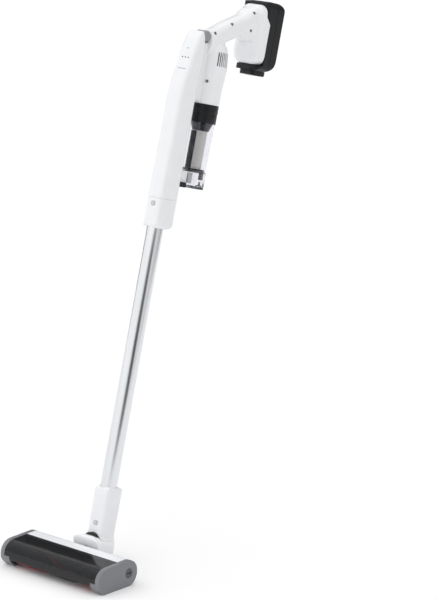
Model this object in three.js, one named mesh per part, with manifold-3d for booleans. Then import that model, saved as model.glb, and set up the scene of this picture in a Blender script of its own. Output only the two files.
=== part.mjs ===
// A cordless stick vacuum cleaner: a floor head with a driven brush roller, a tilting and swivelling
// neck, a metal extension tube, and a handset with a dust cup, a fan motor, a grip and a battery.
// Millimetres, +Z up, +X to the machine's right-hand end cap, +Y towards the person who holds the grip.
// The origin is on the floor, under the middle of the head's glide strip.
import * as THREE from "three";
import { mergeVertices } from "three/addons/utils/BufferGeometryUtils.js";
import Module from "manifold-3d";

const wasm = await Module();
wasm.setup();

// ---------- driving dimensions ----------

const gap = 0.3; // between pieces that touch
const running = 0.6; // between pieces that turn or slide in each other
const shell = 2.2; // wall of the moulded covers

const head = {
  width: 245, front: -65.2, rear: 31, top: 48, chinHeight: 14, windowRear: -6.2,
  cap: 9, chin: 21, bumperLow: 14, bumperHigh: 28.5, soleLow: 1.5, sole: 2.1, glide: 1.2,
};
const roller = { y: -36, z: 20.8, tips: 20.2, core: 13.5, shaft: 3.5, strip: 2.4, turns: 0.6 };
const bearing = { outer: 7.5, length: 4.5 };
const drive = { y: 4, z: 24, motor: 12, motorLength: 52, small: 5, large: 10, belt: 1.4, beltWidth: 6 };
const tilt = { y: 52.7, z: 17.1, pin: 3.4, barrel: 12, halfWidth: 31, ear: 5.5, earRadius: 8 };
const lock = { radius: 8.5, y: 10.5, z: 24 };
const wheel = { radius: 11, width: 7, y: 46, axle: 2 };
const notch = { half: tilt.halfWidth + 2.6, front: 15 }; // the recess for the neck in the top cover
const duct = { radius: 10.5, wall: 1.6, z: 30 };
const hose = { radius: 8.6, wall: 1.4, length: 17.5 };
const lean = 15.344; // degrees that the stick leans back at rest
const swivel = { up: 24, core: 18, coreWall: 2.4, ring: 4.4, front: -19, rear: 18 };
const section = { half: 19.2, front: -17, rear: 20.6, corner: 8 }; // the neck socket and the tube collar
const socket = { top: 126.5, bore: 64.5 };
const tube = { radius: 14.85, wall: 1.1, foot: 70, head: 619 };
// The collar and the handset are drawn for a tube that ends at this height, and rise with tube.head.
const drawnHead = 619;
const collar = { foot: 593.5, top: 647.5 };
const spine = { foot: 647.8, bend: 846, top: 951.5, rear: 27, slantTop: 9, corner: 7 };
const barrel = { t: 72, radius: 25.4, foot: 826, belly: 27.6, bellyAt: 890, top: 944 };
const vent = { low: 896, high: 921, width: 2.3, pitch: 15, count: 17 };
const cupRadius = 24.2;
const cup = {
  ring: 809.5, step: 792.5, radius: cupRadius, footRadius: cupRadius - 2.2, wall: 1.6, flange: 704,
  flangeRadius: cupRadius - 0.4, foot: 678.5, door: 4.4,
};
const filter = { radius: 13, foot: 709, top: 777.5, skirt: cup.footRadius - 2.6, headRadius: cup.radius - 4.2 };
const grip = { half: 17.5 };
const dock = { front: 146, rear: 175, half: 30, foot: 912.5, top: 1022, corner: 12 };
const pack = { rear: 208, top: 1029, foot: 902.5, tabFoot: 894, tabHalf: 17, bossHalf: 20.6, bossFront: 163 };
const cell = { radius: 9, length: 65, pitch: 18.4 };
const screwHead = { radius: 2.6, depth: 3, boss: 3.6 };

// ---------- materials ----------

const finish = (color, roughness, metalness = 0, opacity = 1) =>
  new THREE.MeshStandardMaterial({ color, roughness, metalness, opacity, transparent: opacity < 1 });
const whiteAbs = finish(0xeef0f2, 0.28);
const blackAbs = finish(0x2d2f32, 0.45);
const greyAbs = finish(0x7a7c80, 0.42);
const buttonGrey = finish(0x96989a, 0.45);
const smoke = finish(0x46484b, 0.12, 0, 0.7);
const clear = finish(0xcfd2d4, 0.08, 0, 0.35);
const aluminium = finish(0xb9bcc0, 0.3, 0.95);
const steel = finish(0xa8a49a, 0.35, 0.9);
const rubber = finish(0x1c1c1d, 0.8);
const redBristle = finish(0x8c2f30, 0.7);
const blackBristle = finish(0x202021, 0.75);
const felt = finish(0x3a3a3c, 0.95);
const paper = finish(0xe6e0d0, 0.9);
const copper = finish(0xa86a3c, 0.4, 0.9);
const board = finish(0x2d6a45, 0.6);
const cellWrap = finish(0x3f6f9c, 0.4);

// ---------- solids from three.js geometry ----------

function toSolid(geometry) {
  const bare = geometry.clone();
  for (const name of Object.keys(bare.attributes)) {
    if (name !== "position") bare.deleteAttribute(name);
  }
  const merged = mergeVertices(bare, 1e-4);
  const vertProperties = merged.attributes.position.array;
  const triVerts = new Uint32Array(merged.index.array);
  const made = new wasm.Manifold(new wasm.Mesh({ numProp: 3, vertProperties, triVerts }));
  if (made.volume() > 0) return made;
  for (let i = 0; i < triVerts.length; i += 3) {
    [triVerts[i + 1], triVerts[i + 2]] = [triVerts[i + 2], triVerts[i + 1]];
  }
  return new wasm.Manifold(new wasm.Mesh({ numProp: 3, vertProperties, triVerts }));
}

function toGeometry(solid) {
  const { vertProperties, triVerts } = solid.getMesh();
  const geometry = new THREE.BufferGeometry();
  geometry.setAttribute("position", new THREE.BufferAttribute(vertProperties, 3));
  geometry.setIndex(new THREE.BufferAttribute(triVerts, 1));
  geometry.computeVertexNormals();
  return geometry;
}

const join = (first, ...others) => others.reduce((made, other) => made.add(other), first);
const cut = (first, ...others) => others.reduce((made, other) => made.subtract(other), first);

function box(x0, x1, y0, y1, z0, z1) {
  const geometry = new THREE.BoxGeometry(x1 - x0, y1 - y0, z1 - z0);
  return toSolid(geometry.translate((x0 + x1) / 2, (y0 + y1) / 2, (z0 + z1) / 2));
}

// A closed outline through corners [u, v, radius], each corner rounded by an arc.
function outline(corners) {
  const shape = new THREE.Shape();
  corners.forEach(([u, v, radius = 0], i) => {
    const at = new THREE.Vector2(u, v);
    const towards = (j) => {
      const [p, q] = corners[(j + corners.length) % corners.length];
      return new THREE.Vector2(p, q).sub(at).normalize();
    };
    const back = towards(i - 1);
    const on = towards(i + 1);
    if (!radius) {
      if (i) shape.lineTo(u, v);
      else shape.moveTo(u, v);
      return;
    }
    const half = Math.acos(THREE.MathUtils.clamp(back.dot(on), -1, 1)) / 2;
    const start = at.clone().addScaledVector(back, radius / Math.tan(half));
    const end = at.clone().addScaledVector(on, radius / Math.tan(half));
    const centre = at.clone().addScaledVector(back.clone().add(on).normalize(), radius / Math.sin(half));
    if (i) shape.lineTo(start.x, start.y);
    else shape.moveTo(start.x, start.y);
    const leftTurn = back.cross(on) < 0;
    const angle = (p) => Math.atan2(p.y - centre.y, p.x - centre.x);
    shape.absarc(centre.x, centre.y, radius, angle(start), angle(end), !leftTurn);
  });
  shape.closePath();
  return shape;
}

const extruded = (shape, depth, curveSegments) =>
  new THREE.ExtrudeGeometry(shape, { depth, curveSegments, bevelEnabled: false });

// The outline's (u, v) are (Y, Z), (X, Z) or (X, Y), and it is pushed along the third axis.
function alongX(shape, x0, x1, curveSegments = 4) {
  const turn = new THREE.Matrix4().makeBasis(
    new THREE.Vector3(0, 1, 0), new THREE.Vector3(0, 0, 1), new THREE.Vector3(1, 0, 0),
  );
  return toSolid(extruded(shape, x1 - x0, curveSegments).applyMatrix4(turn).translate(x0, 0, 0));
}
const alongY = (shape, y0, y1, curveSegments = 4) =>
  toSolid(extruded(shape, y1 - y0, curveSegments).rotateX(Math.PI / 2).translate(0, y1, 0));
const alongZ = (shape, z0, z1, curveSegments = 4) =>
  toSolid(extruded(shape, z1 - z0, curveSegments).translate(0, 0, z0));

const rod = (radius, length, sides) => new THREE.CylinderGeometry(radius, radius, length, sides);
const rodX = (radius, x0, x1, y, z, sides = 16) =>
  toSolid(rod(radius, x1 - x0, sides).rotateZ(Math.PI / 2).translate((x0 + x1) / 2, y, z));
const rodY = (radius, y0, y1, x, z, sides = 16) =>
  toSolid(rod(radius, y1 - y0, sides).translate(x, (y0 + y1) / 2, z));
const rodZ = (radius, z0, z1, x, y, sides = 16) =>
  toSolid(rod(radius, z1 - z0, sides).rotateX(Math.PI / 2).translate(x, y, (z0 + z1) / 2));

// A solid of revolution about the vertical through (0, y), from [radius, z] points on the way up.
function turned(points, y, sides = 24) {
  const profile = points.map(([radius, z]) => new THREE.Vector2(radius, z));
  return toSolid(new THREE.LatheGeometry(profile, sides).rotateX(Math.PI / 2).translate(0, y, 0));
}

const rectangle = (u0, u1, v0, v1, radius) =>
  outline([[u0, v0, radius], [u1, v0, radius], [u1, v1, radius], [u0, v1, radius]]);

// ---------- groups: the head on the floor, and the stick that leans back from the tilt axis ----------

const vacuum = new THREE.Group();
const floorHead = new THREE.Group();
const stick = new THREE.Group(); // its Z runs up the stick from the tilt axis, its Y towards the user
stick.position.set(0, tilt.y, tilt.z);
stick.rotation.x = -THREE.MathUtils.degToRad(lean);
vacuum.add(floorHead, stick);

function place(group, name, material, solid) {
  const mesh = new THREE.Mesh(toGeometry(solid), material);
  mesh.name = name;
  group.add(mesh);
}

const sides = [["left", -1], ["right", 1]];
const mirrored = (side, a, b) => (side > 0 ? [a, b] : [-b, -a]);

// ---------- floor head ----------

const capInner = head.width / 2 - head.cap;

// The head's side outline, shrunk by an inset.
const headOutline = (inset) =>
  outline([
    [head.front + inset, head.top - 2.6 - inset, 24 - inset],
    [head.rear - inset, head.top + 0.3 - inset, 22 - inset],
    [head.rear - inset, inset, 24 - inset],
    [head.front + 12.2 + inset, inset, 6],
    [head.front + inset, head.chinHeight, 14 - inset],
  ]);

function topCover() {
  const end = capInner - gap;
  const body = cut(
    alongX(headOutline(0), -end, end, 5),
    box(-end - 1, end + 1, head.front - 1, head.windowRear - shell, -1, head.top + 2),
    box(-end - 1, end + 1, head.front - 1, head.rear + 1, -1, head.soleLow + head.sole + gap),
  );
  const inside = cut(
    alongX(headOutline(shell), -end - 1, end + 1, 5),
    box(-end - 2, end + 2, head.front, head.windowRear, -1, head.top),
    box(-notch.half - shell, notch.half + shell, notch.front - shell, head.rear + 1, -1, head.top),
  );
  return cut(
    body,
    inside,
    box(-notch.half, notch.half, notch.front, head.rear + 1, -1, head.top + 2),
    rodY(duct.radius + gap, head.windowRear - 4, notch.front + 1, 0, duct.z),
    box(-end - 1, beltX[1] + 1, head.windowRear - shell - 1, head.windowRear + 1, 8, head.top - 10),
  );
}

function rollerWindow() {
  const end = capInner - gap;
  const rear = head.windowRear - shell - gap;
  return cut(
    alongX(headOutline(0), -end, end, 5),
    alongX(headOutline(2), -end - 1, end + 1, 5),
    box(-end - 1, end + 1, rear, head.rear + 1, -1, head.top + 2),
    box(-end - 1, end + 1, head.front - 1, rear + 1, -1, head.bumperHigh + gap),
  );
}

// The black bar that the head meets furniture with, between the two chins.
function frontBumper() {
  const rear = head.front + 3.2;
  const band = (end, low) => cut(
    alongX(headOutline(0.4), -end, end, 5),
    alongX(headOutline(3), -end - 1, end + 1, 5),
    box(-end - 1, end + 1, rear + 20, head.rear + 1, -1, head.top + 2),
    box(-end - 1, end + 1, head.front - 1, rear + 21, head.bumperHigh, head.top + 2),
    box(-end - 1, end + 1, head.front - 1, rear + 21, -1, low),
  );
  const chinTop = head.chinHeight + 7;
  return join(
    band(head.width / 2 - head.chin - gap, head.bumperLow), band(head.width / 2 - head.cap - gap, chinTop + gap),
  );
}

// An end cap: a thin shell plate with a chin that turns in under the front corner.
function endCap(side) {
  const outer = head.width / 2;
  const [x0, x1] = mirrored(side, capInner, outer);
  const [c0, c1] = mirrored(side, outer - head.chin, outer);
  const [n0, n1] = mirrored(side, capInner - 1, outer - 2.4);
  const [g0, g1] = mirrored(side, outer - head.chin - 1, capInner);
  const plate = alongX(headOutline(0), x0, x1, 5);
  const chin = cut(
    alongX(headOutline(0), c0, c1, 5),
    box(c0 - 1, c1 + 1, head.front - 1, head.rear + 1, head.chinHeight + 7, head.top + 2),
    box(c0 - 1, c1 + 1, head.front + 22, head.rear + 1, -1, head.top + 2),
    alongX(headOutline(3), g0, g1, 5),
  );
  const hollow = cut(
    alongX(headOutline(3), n0, n1, 5),
    rodX(bearing.outer + 3, n0, n1, roller.y, roller.z),
    rodX(lock.radius + 3, n0, n1, lock.y, lock.z),
  );
  const seat = mirrored(side, capInner - 1, capInner + bearing.length + gap);
  const lockBore = mirrored(side, capInner - 1, outer + 1);
  const made = cut(
    join(plate, chin),
    hollow,
    rodX(bearing.outer + gap, ...seat, roller.y, roller.z),
  );
  return side > 0 ? cut(made, rodX(lock.radius + gap, ...lockBore, lock.y, lock.z)) : made;
}

// The coin lock that holds the right end cap on.
function endCapLock() {
  const outer = head.width / 2;
  return cut(
    rodX(lock.radius, capInner + gap, outer + 0.4, lock.y, lock.z, 24),
    box(outer - 1.4, outer + 1, lock.y - 5.6, lock.y + 5.6, lock.z - 1, lock.z + 1),
  );
}

function solePlate() {
  const end = capInner - gap;
  const low = head.soleLow;
  const high = low + head.sole;
  const rails = sides.map(([, side]) => {
    const [x0, x1] = mirrored(side, end - 8, end);
    return box(x0, x1, head.front + 24, head.windowRear - 8, low, high);
  });
  return cut(
    join(box(-end, end, head.windowRear - 9, 13, low, high), ...rails),
    rodZ(2, low - 1, high + 1, -95, 8, 12),
    rodZ(2, low - 1, high + 1, 95, 8, 12),
  );
}

const glideStrip = () => box(-70, 70, -10, 10, 0, head.glide);

const rollerLength = 2 * (capInner - bearing.length - 8);

function rollerCore() {
  const half = rollerLength / 2;
  const tip = capInner + bearing.length - 1;
  const body = rodX(roller.core, -half, half, roller.y, roller.z, 28);
  return join(body, rodX(roller.shaft, -tip, tip, roller.y, roller.z, 14));
}

// A helical row of bristles: a short fence that winds round the core.
function bristleRow(start) {
  const steps = 20;
  const half = rollerLength / 2 - 4;
  const radial = [roller.core + gap, roller.tips];
  const vertices = [];
  for (let i = 0; i <= steps; i++) {
    const x = -half + (2 * half * i) / steps;
    const turn = start + (i / steps) * roller.turns * 2 * Math.PI;
    for (const [radius, offset] of [
      [radial[0], -roller.strip], [radial[0], roller.strip], [radial[1], roller.strip], [radial[1], -roller.strip],
    ]) {
      const angle = turn + offset / radius;
      vertices.push(x, roller.y + radius * Math.cos(angle), roller.z + radius * Math.sin(angle));
    }
  }
  const index = [0, 2, 1, 0, 3, 2];
  for (let i = 0; i < steps; i++) {
    for (let k = 0; k < 4; k++) {
      const a = 4 * i + k;
      const b = 4 * i + ((k + 1) % 4);
      index.push(a, b, a + 4, b, b + 4, a + 4);
    }
  }
  const last = 4 * steps;
  index.push(last, last + 1, last + 2, last, last + 2, last + 3);
  const geometry = new THREE.BufferGeometry();
  geometry.setAttribute("position", new THREE.Float32BufferAttribute(vertices, 3));
  geometry.setIndex(index);
  return toSolid(geometry);
}

function rollerBearing(side) {
  const [x0, x1] = mirrored(side, capInner + gap, capInner + bearing.length);
  return cut(
    rodX(bearing.outer, x0, x1, roller.y, roller.z, 20),
    rodX(roller.shaft + gap / 3, x0 - 1, x1 + 1, roller.y, roller.z, 20),
  );
}

const beltX = [-(capInner - 1.5), -(capInner - 1.5 - drive.beltWidth)];

function pulley(radius, bore, y, z) {
  const [x0, x1] = beltX;
  const body = join(
    rodX(radius, x0, x1, y, z, 20),
    rodX(radius + 1.2, x1 - 0.1, x1 + 0.9, y, z, 20),
  );
  return cut(body, rodX(bore + gap, x0 - 1, x1 + 2, y, z, 14));
}

// The belt: a band round both pulleys.
function driveBelt() {
  const spread = new THREE.Vector2(drive.y - roller.y, drive.z - roller.z);
  const along = Math.atan2(spread.y, spread.x);
  const lead = Math.asin((drive.large - drive.small) / spread.length());
  const band = (extra) => {
    const shape = new THREE.Shape();
    const top = along + Math.PI / 2 - lead;
    const low = along - Math.PI / 2 + lead;
    shape.absarc(drive.y, drive.z, drive.small + extra, low, top, false);
    shape.absarc(roller.y, roller.z, drive.large + extra, top, low + 2 * Math.PI, false);
    shape.closePath();
    return shape;
  };
  const [x0, x1] = beltX;
  return cut(
    alongX(band(gap + drive.belt), x0 + 0.4, x1 - 0.4, 10),
    alongX(band(gap), x0 - 1, x1 + 1, 10),
  );
}

function brushMotor() {
  const start = beltX[1] + 4;
  return join(
    rodX(drive.motor, start, start + drive.motorLength, drive.y + 4, drive.z, 24),
    rodX(4, start - 2, start + 1, drive.y, drive.z, 16),
    rodX(2, beltX[0] + 0.5, start, drive.y, drive.z, 12),
  );
}

// The rigid duct from the roller chamber to the notch, and the short hose behind it.
const hollowRodY = (radius, wall, y0, y1, x, z, count = 16) =>
  cut(rodY(radius, y0, y1, x, z, count), rodY(radius - wall, y0 - 1, y1 + 1, x, z, count));

const suctionDuct = () =>
  join(
    hollowRodY(duct.radius, 1.6, head.windowRear - 1, notch.front, 0, duct.z),
    hollowRodY(duct.radius + 3, 4, head.windowRear + 0.6, head.windowRear + 3, 0, duct.z),
  );

function flexHose() {
  const start = notch.front + gap;
  const end = start + hose.length;
  const rings = [];
  for (let y = start + 0.6; y < end - 1.5; y += 4.2) rings.push(hollowRodY(hose.radius + 0.9, 2, y, y + 2, 0, duct.z));
  return join(hollowRodY(hose.radius, hose.wall, start, end, 0, duct.z), ...rings);
}

const earInner = tilt.halfWidth + running;
const earOuter = earInner + tilt.ear;
const wheelInner = earOuter + 1;
const wheelOuter = wheelInner + wheel.width;

function neckBracket() {
  const low = head.soleLow;
  const start = head.rear + running;
  const floorPlate = join(
    box(-notch.half + gap, notch.half - gap, notch.front + 2, start + 2, low, low + 2.4),
    box(-earOuter, earOuter, start, tilt.y - 8, low, low + 2.4),
  );
  const ears = sides.map(([, side]) => {
    const [x0, x1] = mirrored(side, earInner, earOuter);
    const shape = outline([
      [start, low, 0], [tilt.y + 1, low, 3], [tilt.y + tilt.earRadius, tilt.z, 7],
      [tilt.y + 3, tilt.z + tilt.earRadius, 6], [tilt.y - tilt.earRadius, tilt.z + tilt.earRadius, 6],
      [start, low + 8, 3],
    ]);
    return alongX(shape, x0, x1);
  });
  const stubs = sides.map(([, side]) => {
    const [x0, x1] = mirrored(side, earOuter - 1, wheelOuter + 0.6);
    return rodX(wheel.axle, x0, x1, wheel.y, wheel.radius, 14);
  });
  return cut(join(floorPlate, ...ears, ...stubs), rodX(tilt.pin + gap, -earOuter - 1, earOuter + 1, tilt.y, tilt.z));
}

function tiltPin(side) {
  const [x0, x1] = mirrored(side, tilt.halfWidth - 5, earOuter);
  return rodX(tilt.pin, x0, x1, tilt.y, tilt.z, 18);
}

function rearWheel(side) {
  const [x0, x1] = mirrored(side, wheelInner, wheelOuter);
  return cut(
    rodX(wheel.radius, x0, x1, wheel.y, wheel.radius, 28),
    rodX(wheel.axle + gap, x0 - 1, x1 + 1, wheel.y, wheel.radius, 14),
  );
}

// ---------- neck, in the stick's own frame ----------

const cradle = swivel.core + swivel.ring + running;
const cheekTop = 30;

// A rod along the floor's Y in the stick's leaning frame.
const levelRod = (radius, length, y, z) =>
  toSolid(rod(radius, length, 20).rotateX(THREE.MathUtils.degToRad(lean)).translate(0, y, z));

function neckYoke() {
  const profile = outline([
    [-tilt.barrel, -tilt.barrel, 11], [tilt.barrel, -tilt.barrel, 11], [8, swivel.up + 12.5, 9],
    [-39, swivel.up + 12.5, 6], [-30, 12, 5], [-13, 2, 4],
  ]);
  const half = tilt.halfWidth;
  const face = outline([
    [-half, -tilt.barrel - 1, 2], [half, -tilt.barrel - 1, 2], [half, swivel.up + 4, 7],
    [12, swivel.up + 12.5, 18], [-12, swivel.up + 12.5, 18], [-half, swivel.up + 4, 7],
  ]);
  const body = alongX(profile, -half, half).intersect(alongY(face, -50, 30));
  const bores = sides.map(([, side]) => {
    const [x0, x1] = mirrored(side, half - 5 - gap, half + 1);
    return rodX(tilt.pin + gap, x0, x1, 0, 0, 18);
  });
  return cut(
    body,
    rodY(cradle, swivel.front, 40, 0, swivel.up, 28),
    box(-cradle, cradle, swivel.front, 40, swivel.up, 60),
    box(-half - 1, half + 1, swivel.front, 40, cheekTop, 60),
    rodY(swivel.core + gap, swivel.front - 5, swivel.front + 1, 0, swivel.up, 28),
    levelRod(hose.radius + 2, 34, -30, 6),
    ...bores,
  );
}

function swivelDuct() {
  const { core, coreWall, front, rear, up } = swivel;
  return cut(
    rodY(core, front - 4.7, rear, 0, up, 28),
    rodY(core - coreWall, front - 2.4, rear - coreWall, 0, up, 28),
    box(-10.5, 10.5, front + 6, rear - 4, up, up + core + 1),
    levelRod(hose.radius + 2, 20, -26, 7),
  );
}

const { half: sleeveHalf, front: sleeveFront, rear: sleeveRear, corner: sleeveCorner } = section;
const sleeve = (rear) => rectangle(-sleeveHalf, sleeveHalf, sleeveFront, rear, sleeveCorner);

// A crescent-topped release button on a sleeve's front face, and the pocket that it sits in.
const buttonFace = (z, extra) =>
  outline([
    [-4.5 - extra, z - 3.5 - extra, 3], [4.5 + extra, z - 3.5 - extra, 3],
    [4.5 + extra, z + 3.5 + extra, 3], [-4.5 - extra, z + 3.5 + extra, 3],
  ]);
const releaseButton = (z) => alongY(buttonFace(z, 0), sleeveFront - 0.7, sleeveFront + 2);
const releasePocket = (z) => alongY(buttonFace(z, gap), sleeveFront - 2, sleeveFront + 2 + button.travel + gap);
const button = { travel: 1.2, socketZ: 59.5, collarZ: 637 };

function neckSocket() {
  const { core, ring, rear, up } = swivel;
  const body = alongZ(sleeve(sleeveRear), up, socket.top);
  const chamfer = alongX(outline([
    [sleeveFront - 1, up - 30, 0], [14, up - 30, 0], [rear - 0.6, up + 14, 0], [sleeveRear, up + 24, 8],
    [sleeveRear, socket.top, 4], [sleeveFront, socket.top, 4], [sleeveFront - 1, socket.top - 6, 0],
  ]), -sleeveHalf - 5, sleeveHalf + 5);
  const lobe = rodY(core + ring, sleeveFront, rear - 0.4, 0, up, 28);
  return cut(
    join(body.intersect(chamfer), lobe),
    rodY(core + gap + 0.1, sleeveFront - 1, sleeveRear + 1, 0, up, 28),
    rodZ(tube.radius + gap, socket.bore, socket.top + 1, 0, 0, 28),
    rodZ(12, up, socket.bore + 1, 0, 0, 24),
    releasePocket(button.socketZ),
  );
}

const hollowRodZ = (radius, wall, z0, z1, x, y, count = 24) =>
  cut(rodZ(radius, z0, z1, x, y, count), rodZ(radius - wall, z0 - 1, z1 + 1, x, y, count));

const extensionTube = () => hollowRodZ(tube.radius, tube.wall, tube.foot, tube.head, 0, 0, 28);

const spigot = { radius: 14.4, wall: 2, length: 20 };

function tubeCollar() {
  const { foot, top } = collar;
  const profile = outline([
    [sleeveFront, foot, 9], [spine.rear, foot, 20], [spine.rear, top, 0], [sleeveFront, top, 0],
  ]);
  const body = alongZ(sleeve(spine.rear), foot, top).intersect(alongX(profile, -30, 30));
  return cut(
    join(body, rodZ(spigot.radius, top - 1, top + spigot.length, 0, 0, 24)),
    rodZ(tube.radius + gap, foot - 1, drawnHead + gap, 0, 0, 28),
    rodZ(spigot.radius - spigot.wall, foot, top + spigot.length + 1, 0, 0, 24),
    releasePocket(button.collarZ),
  );
}

// ---------- lofted shells ----------

// A closed rounded rectangle of points in the plane through (0, y, z): half wide in X, from low to high
// along Y, or along Z where upright is true.
function hoop({ y = 0, z = 0, half, low, high, radius, upright = false }, steps = 2) {
  const points = [];
  const corners = [[1, 1], [-1, 1], [-1, -1], [1, -1]];
  corners.forEach(([signX, signV], k) => {
    for (let i = 0; i <= steps; i++) {
      const angle = ((k + i / steps) * Math.PI) / 2;
      const x = signX * (half - radius) + radius * Math.cos(angle);
      const v = (signV > 0 ? high - radius : low + radius) + radius * Math.sin(angle);
      points.push(upright ? [x, y, v] : [x, v, z]);
    }
  });
  return points;
}

// A closed skin through hoops of equal count.
function loft(hoops) {
  const count = hoops[0].length;
  const index = [];
  for (let i = 0; i + 1 < hoops.length; i++) {
    for (let k = 0; k < count; k++) {
      const a = i * count + k;
      const b = i * count + ((k + 1) % count);
      index.push(a, b, b + count, a, b + count, a + count);
    }
  }
  const last = (hoops.length - 1) * count;
  for (let k = 1; k + 1 < count; k++) index.push(0, k + 1, k, last, last + k, last + k + 1);
  const geometry = new THREE.BufferGeometry();
  geometry.setAttribute("position", new THREE.Float32BufferAttribute(hoops.flat(2), 3));
  geometry.setIndex(index);
  return toSolid(geometry);
}

// ---------- spine: the front cover, with the slanted indicator panel ----------

// The front face's Y at each height, and how far the top end is rounded off at front and rear.
const spineStations = (inset) => {
  const { foot, bend, top, rear, corner, slantTop } = spine;
  const rows = [
    [foot, sleeveFront, rear], [foot + 110, sleeveFront + 2.6, rear], [bend - 18, sleeveFront + 2.8, rear],
    [bend + 8, sleeveFront + 5.4, rear], [bend + 40, sleeveFront + 12.4, rear],
    [top - 22, slantTop - 4.6, rear], [top - 12, slantTop - 0.6, rear - 1.6], [top - 5, slantTop + 3.4, rear - 5.6],
    [top - 1.5, slantTop + 6.6, rear - 9], [top, slantTop + 8.2, rear - 11],
  ];
  return rows.map(([z, front, back], i) => {
    const narrow = i > 5 ? (i - 5) * (i - 5) * 0.32 : 0;
    const half = section.half - narrow - inset;
    const low = front + inset;
    const high = back - inset;
    return hoop({ z: Math.min(z, top - inset * 1.2), half, low, high, radius: Math.min(corner, (high - low) / 2.1) });
  });
};

const thumb = { y: 33.2, z: 945, radius: 9.4, half: 12.5, travel: 1.5 };
const cupButton = { y: 5, z: 779.5, width: 14, height: 21, travel: 1.5 };
const led = { z: 901, pitch: 7, radius: 1.1 };
const port = { half: 8, low: 683, high: 701, reach: 64 };

function spineCover() {
  const throat = hoop({ z: spine.foot + 26, half: 15, low: sleeveFront + 4, high: spine.rear - 3, radius: 5 });
  const inner = [throat, ...spineStations(shell).slice(1)];
  const ledHoles = [-1, 0, 1].map((k) => rodY(led.radius + gap, -30, 10, k * led.pitch, led.z, 10));
  const buttonHole = alongX(
    rectangle(
      cupButton.y - cupButton.width / 2 - gap, cupButton.y + cupButton.width / 2 + gap,
      cupButton.z - cupButton.height / 2 - gap, cupButton.z + cupButton.height / 2 + gap, 5,
    ), -section.half - 2, -section.half + shell + 1,
  );
  return cut(
    loft(spineStations(0)),
    loft(inner),
    rodZ(spigot.radius + gap, spine.foot - 1, spine.foot + 27, 0, 0, 24),
    thumbPocket(thumb.half + gap),
    box(-port.half + 1.6, port.half - 1.6, spine.rear - 6, spine.rear + 2, port.low + 1.6, port.high - 1.6),
    buttonHole,
    ...ledHoles,
  );
}

// The room that the thumb button sits and moves in, open at the top.
function thumbPocket(half) {
  const { y, z, radius, travel } = thumb;
  const free = radius + gap;
  return join(rodX(free, -half, half, y, z - travel, 24), box(-half, half, y - free, y + free, z - travel, spine.top + 20));
}

function cupReleaseButton() {
  const { y, z, width, height } = cupButton;
  const x0 = -section.half - 1;
  const cap = alongX(rectangle(y - width / 2, y + width / 2, z - height / 2, z + height / 2, 4.7), x0, x0 + 3);
  return join(cap, box(x0 + 2, x0 + 8, y - 3, y + 3, z - 3, z + 3));
}

// Three lenses on one bar behind the slanted panel.
function lightPipe() {
  const front = spineFrontAt(led.z);
  const lenses = [-1, 0, 1].map((k) => rodY(led.radius, front + 0.15, front + 6, k * led.pitch, led.z, 10));
  return join(box(-led.pitch - 2, led.pitch + 2, front + 4.5, front + 7, led.z - 1.5, led.z + 1.5), ...lenses);
}
const spineFrontAt = (z) => sleeveFront + 5.4 + ((z - spine.bend - 8) * 7) / 32;

// A pill with domed ends, its axis along X, that rocks down under the thumb.
function thumbButton() {
  const { half, radius, y, z } = thumb;
  const points = [[0, -half], [radius * 0.72, -half + 0.6], [radius, -half + 4], [radius, half - 4],
    [radius * 0.72, half - 0.6], [0, half]];
  const profile = points.map(([r, x]) => new THREE.Vector2(r, x));
  return toSolid(new THREE.LatheGeometry(profile, 24).rotateZ(-Math.PI / 2).translate(0, y, z));
}

// ---------- handset body: motor housing, grip and battery dock, in two halves ----------

// Heights of the grip's underside and back, and its half width, at each distance behind the spine.
const gripRows = [
  [43.5, 912, 956, 14], [47, 910, 960.5, 15.5], [60, 916, 967.5, 17], [74, 928, 975.5, grip.half],
  [86, 939.5, 982, grip.half], [98, 945, 987.6, grip.half], [110, 950.5, 992.6, grip.half],
  [120, 953.8, 996.6, 17.8], [128, 956, 1001, 18.6], [136, 955, 1008.5, 20], [147, 950, 1015, 22],
];

const dockRows = [
  [dock.front, 12, 14, 13], [dock.front + 1, 8.5, 9.5, 9.5], [dock.front + 3.5, 5, 6, 6],
  [dock.front + 8, 2, 2.4, 2.6], [dock.front + 14, 0.5, 0.6, 0.7], [dock.front + 20, 0, 0, 0], [dock.rear, 0, 0, 0],
];

function handsetSkin(inset) {
  const [first, last] = [gripRows[0], gripRows[gripRows.length - 1]];
  const gripHoops = gripRows.map(([y, low, high, half]) => {
    const shift = y === first[0] ? inset : y === last[0] ? inset * 3 : 0;
    return hoop({
      y: y + shift, half: half - inset, low: low + inset, high: high - inset, radius: 11 - inset, upright: true,
    });
  });
  const dockHoops = dockRows.map(([y, down, up, narrow]) =>
    hoop({
      y: Math.min(y + inset, dock.rear - inset), half: dock.half - narrow - inset, low: dock.foot + down + inset,
      high: dock.top - up - inset, radius: dock.corner + 2 - inset, upright: true,
    }));
  const { t, radius, foot, belly, bellyAt, top } = barrel;
  const housing = turned([
    [0, foot - inset * 2], [radius - inset, foot - inset * 2], [radius - inset, foot + 20],
    [belly - 0.6 - inset, foot + 44], [belly - inset, bellyAt], [belly - 0.6 - inset, bellyAt + 16],
    [radius - inset, top - 24], [radius - 4 - inset, top - 12], [radius - 13 - inset, top - 3 - inset], [0, top - inset],
  ], t, 28);
  const skin = join(housing, loft(gripHoops), loft(dockHoops));
  if (inset) return skin;
  const web = box(-8, 8, spine.rear + gap, t - 20, foot + 4, gripRows[0][2] - 22);
  return join(skin, web);
}

const screws = [
  [50, 866.5, 15.3], [89, 977, grip.half], [136.7, 971, 20], [139.5, 1003, 19.6],
];

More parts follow.
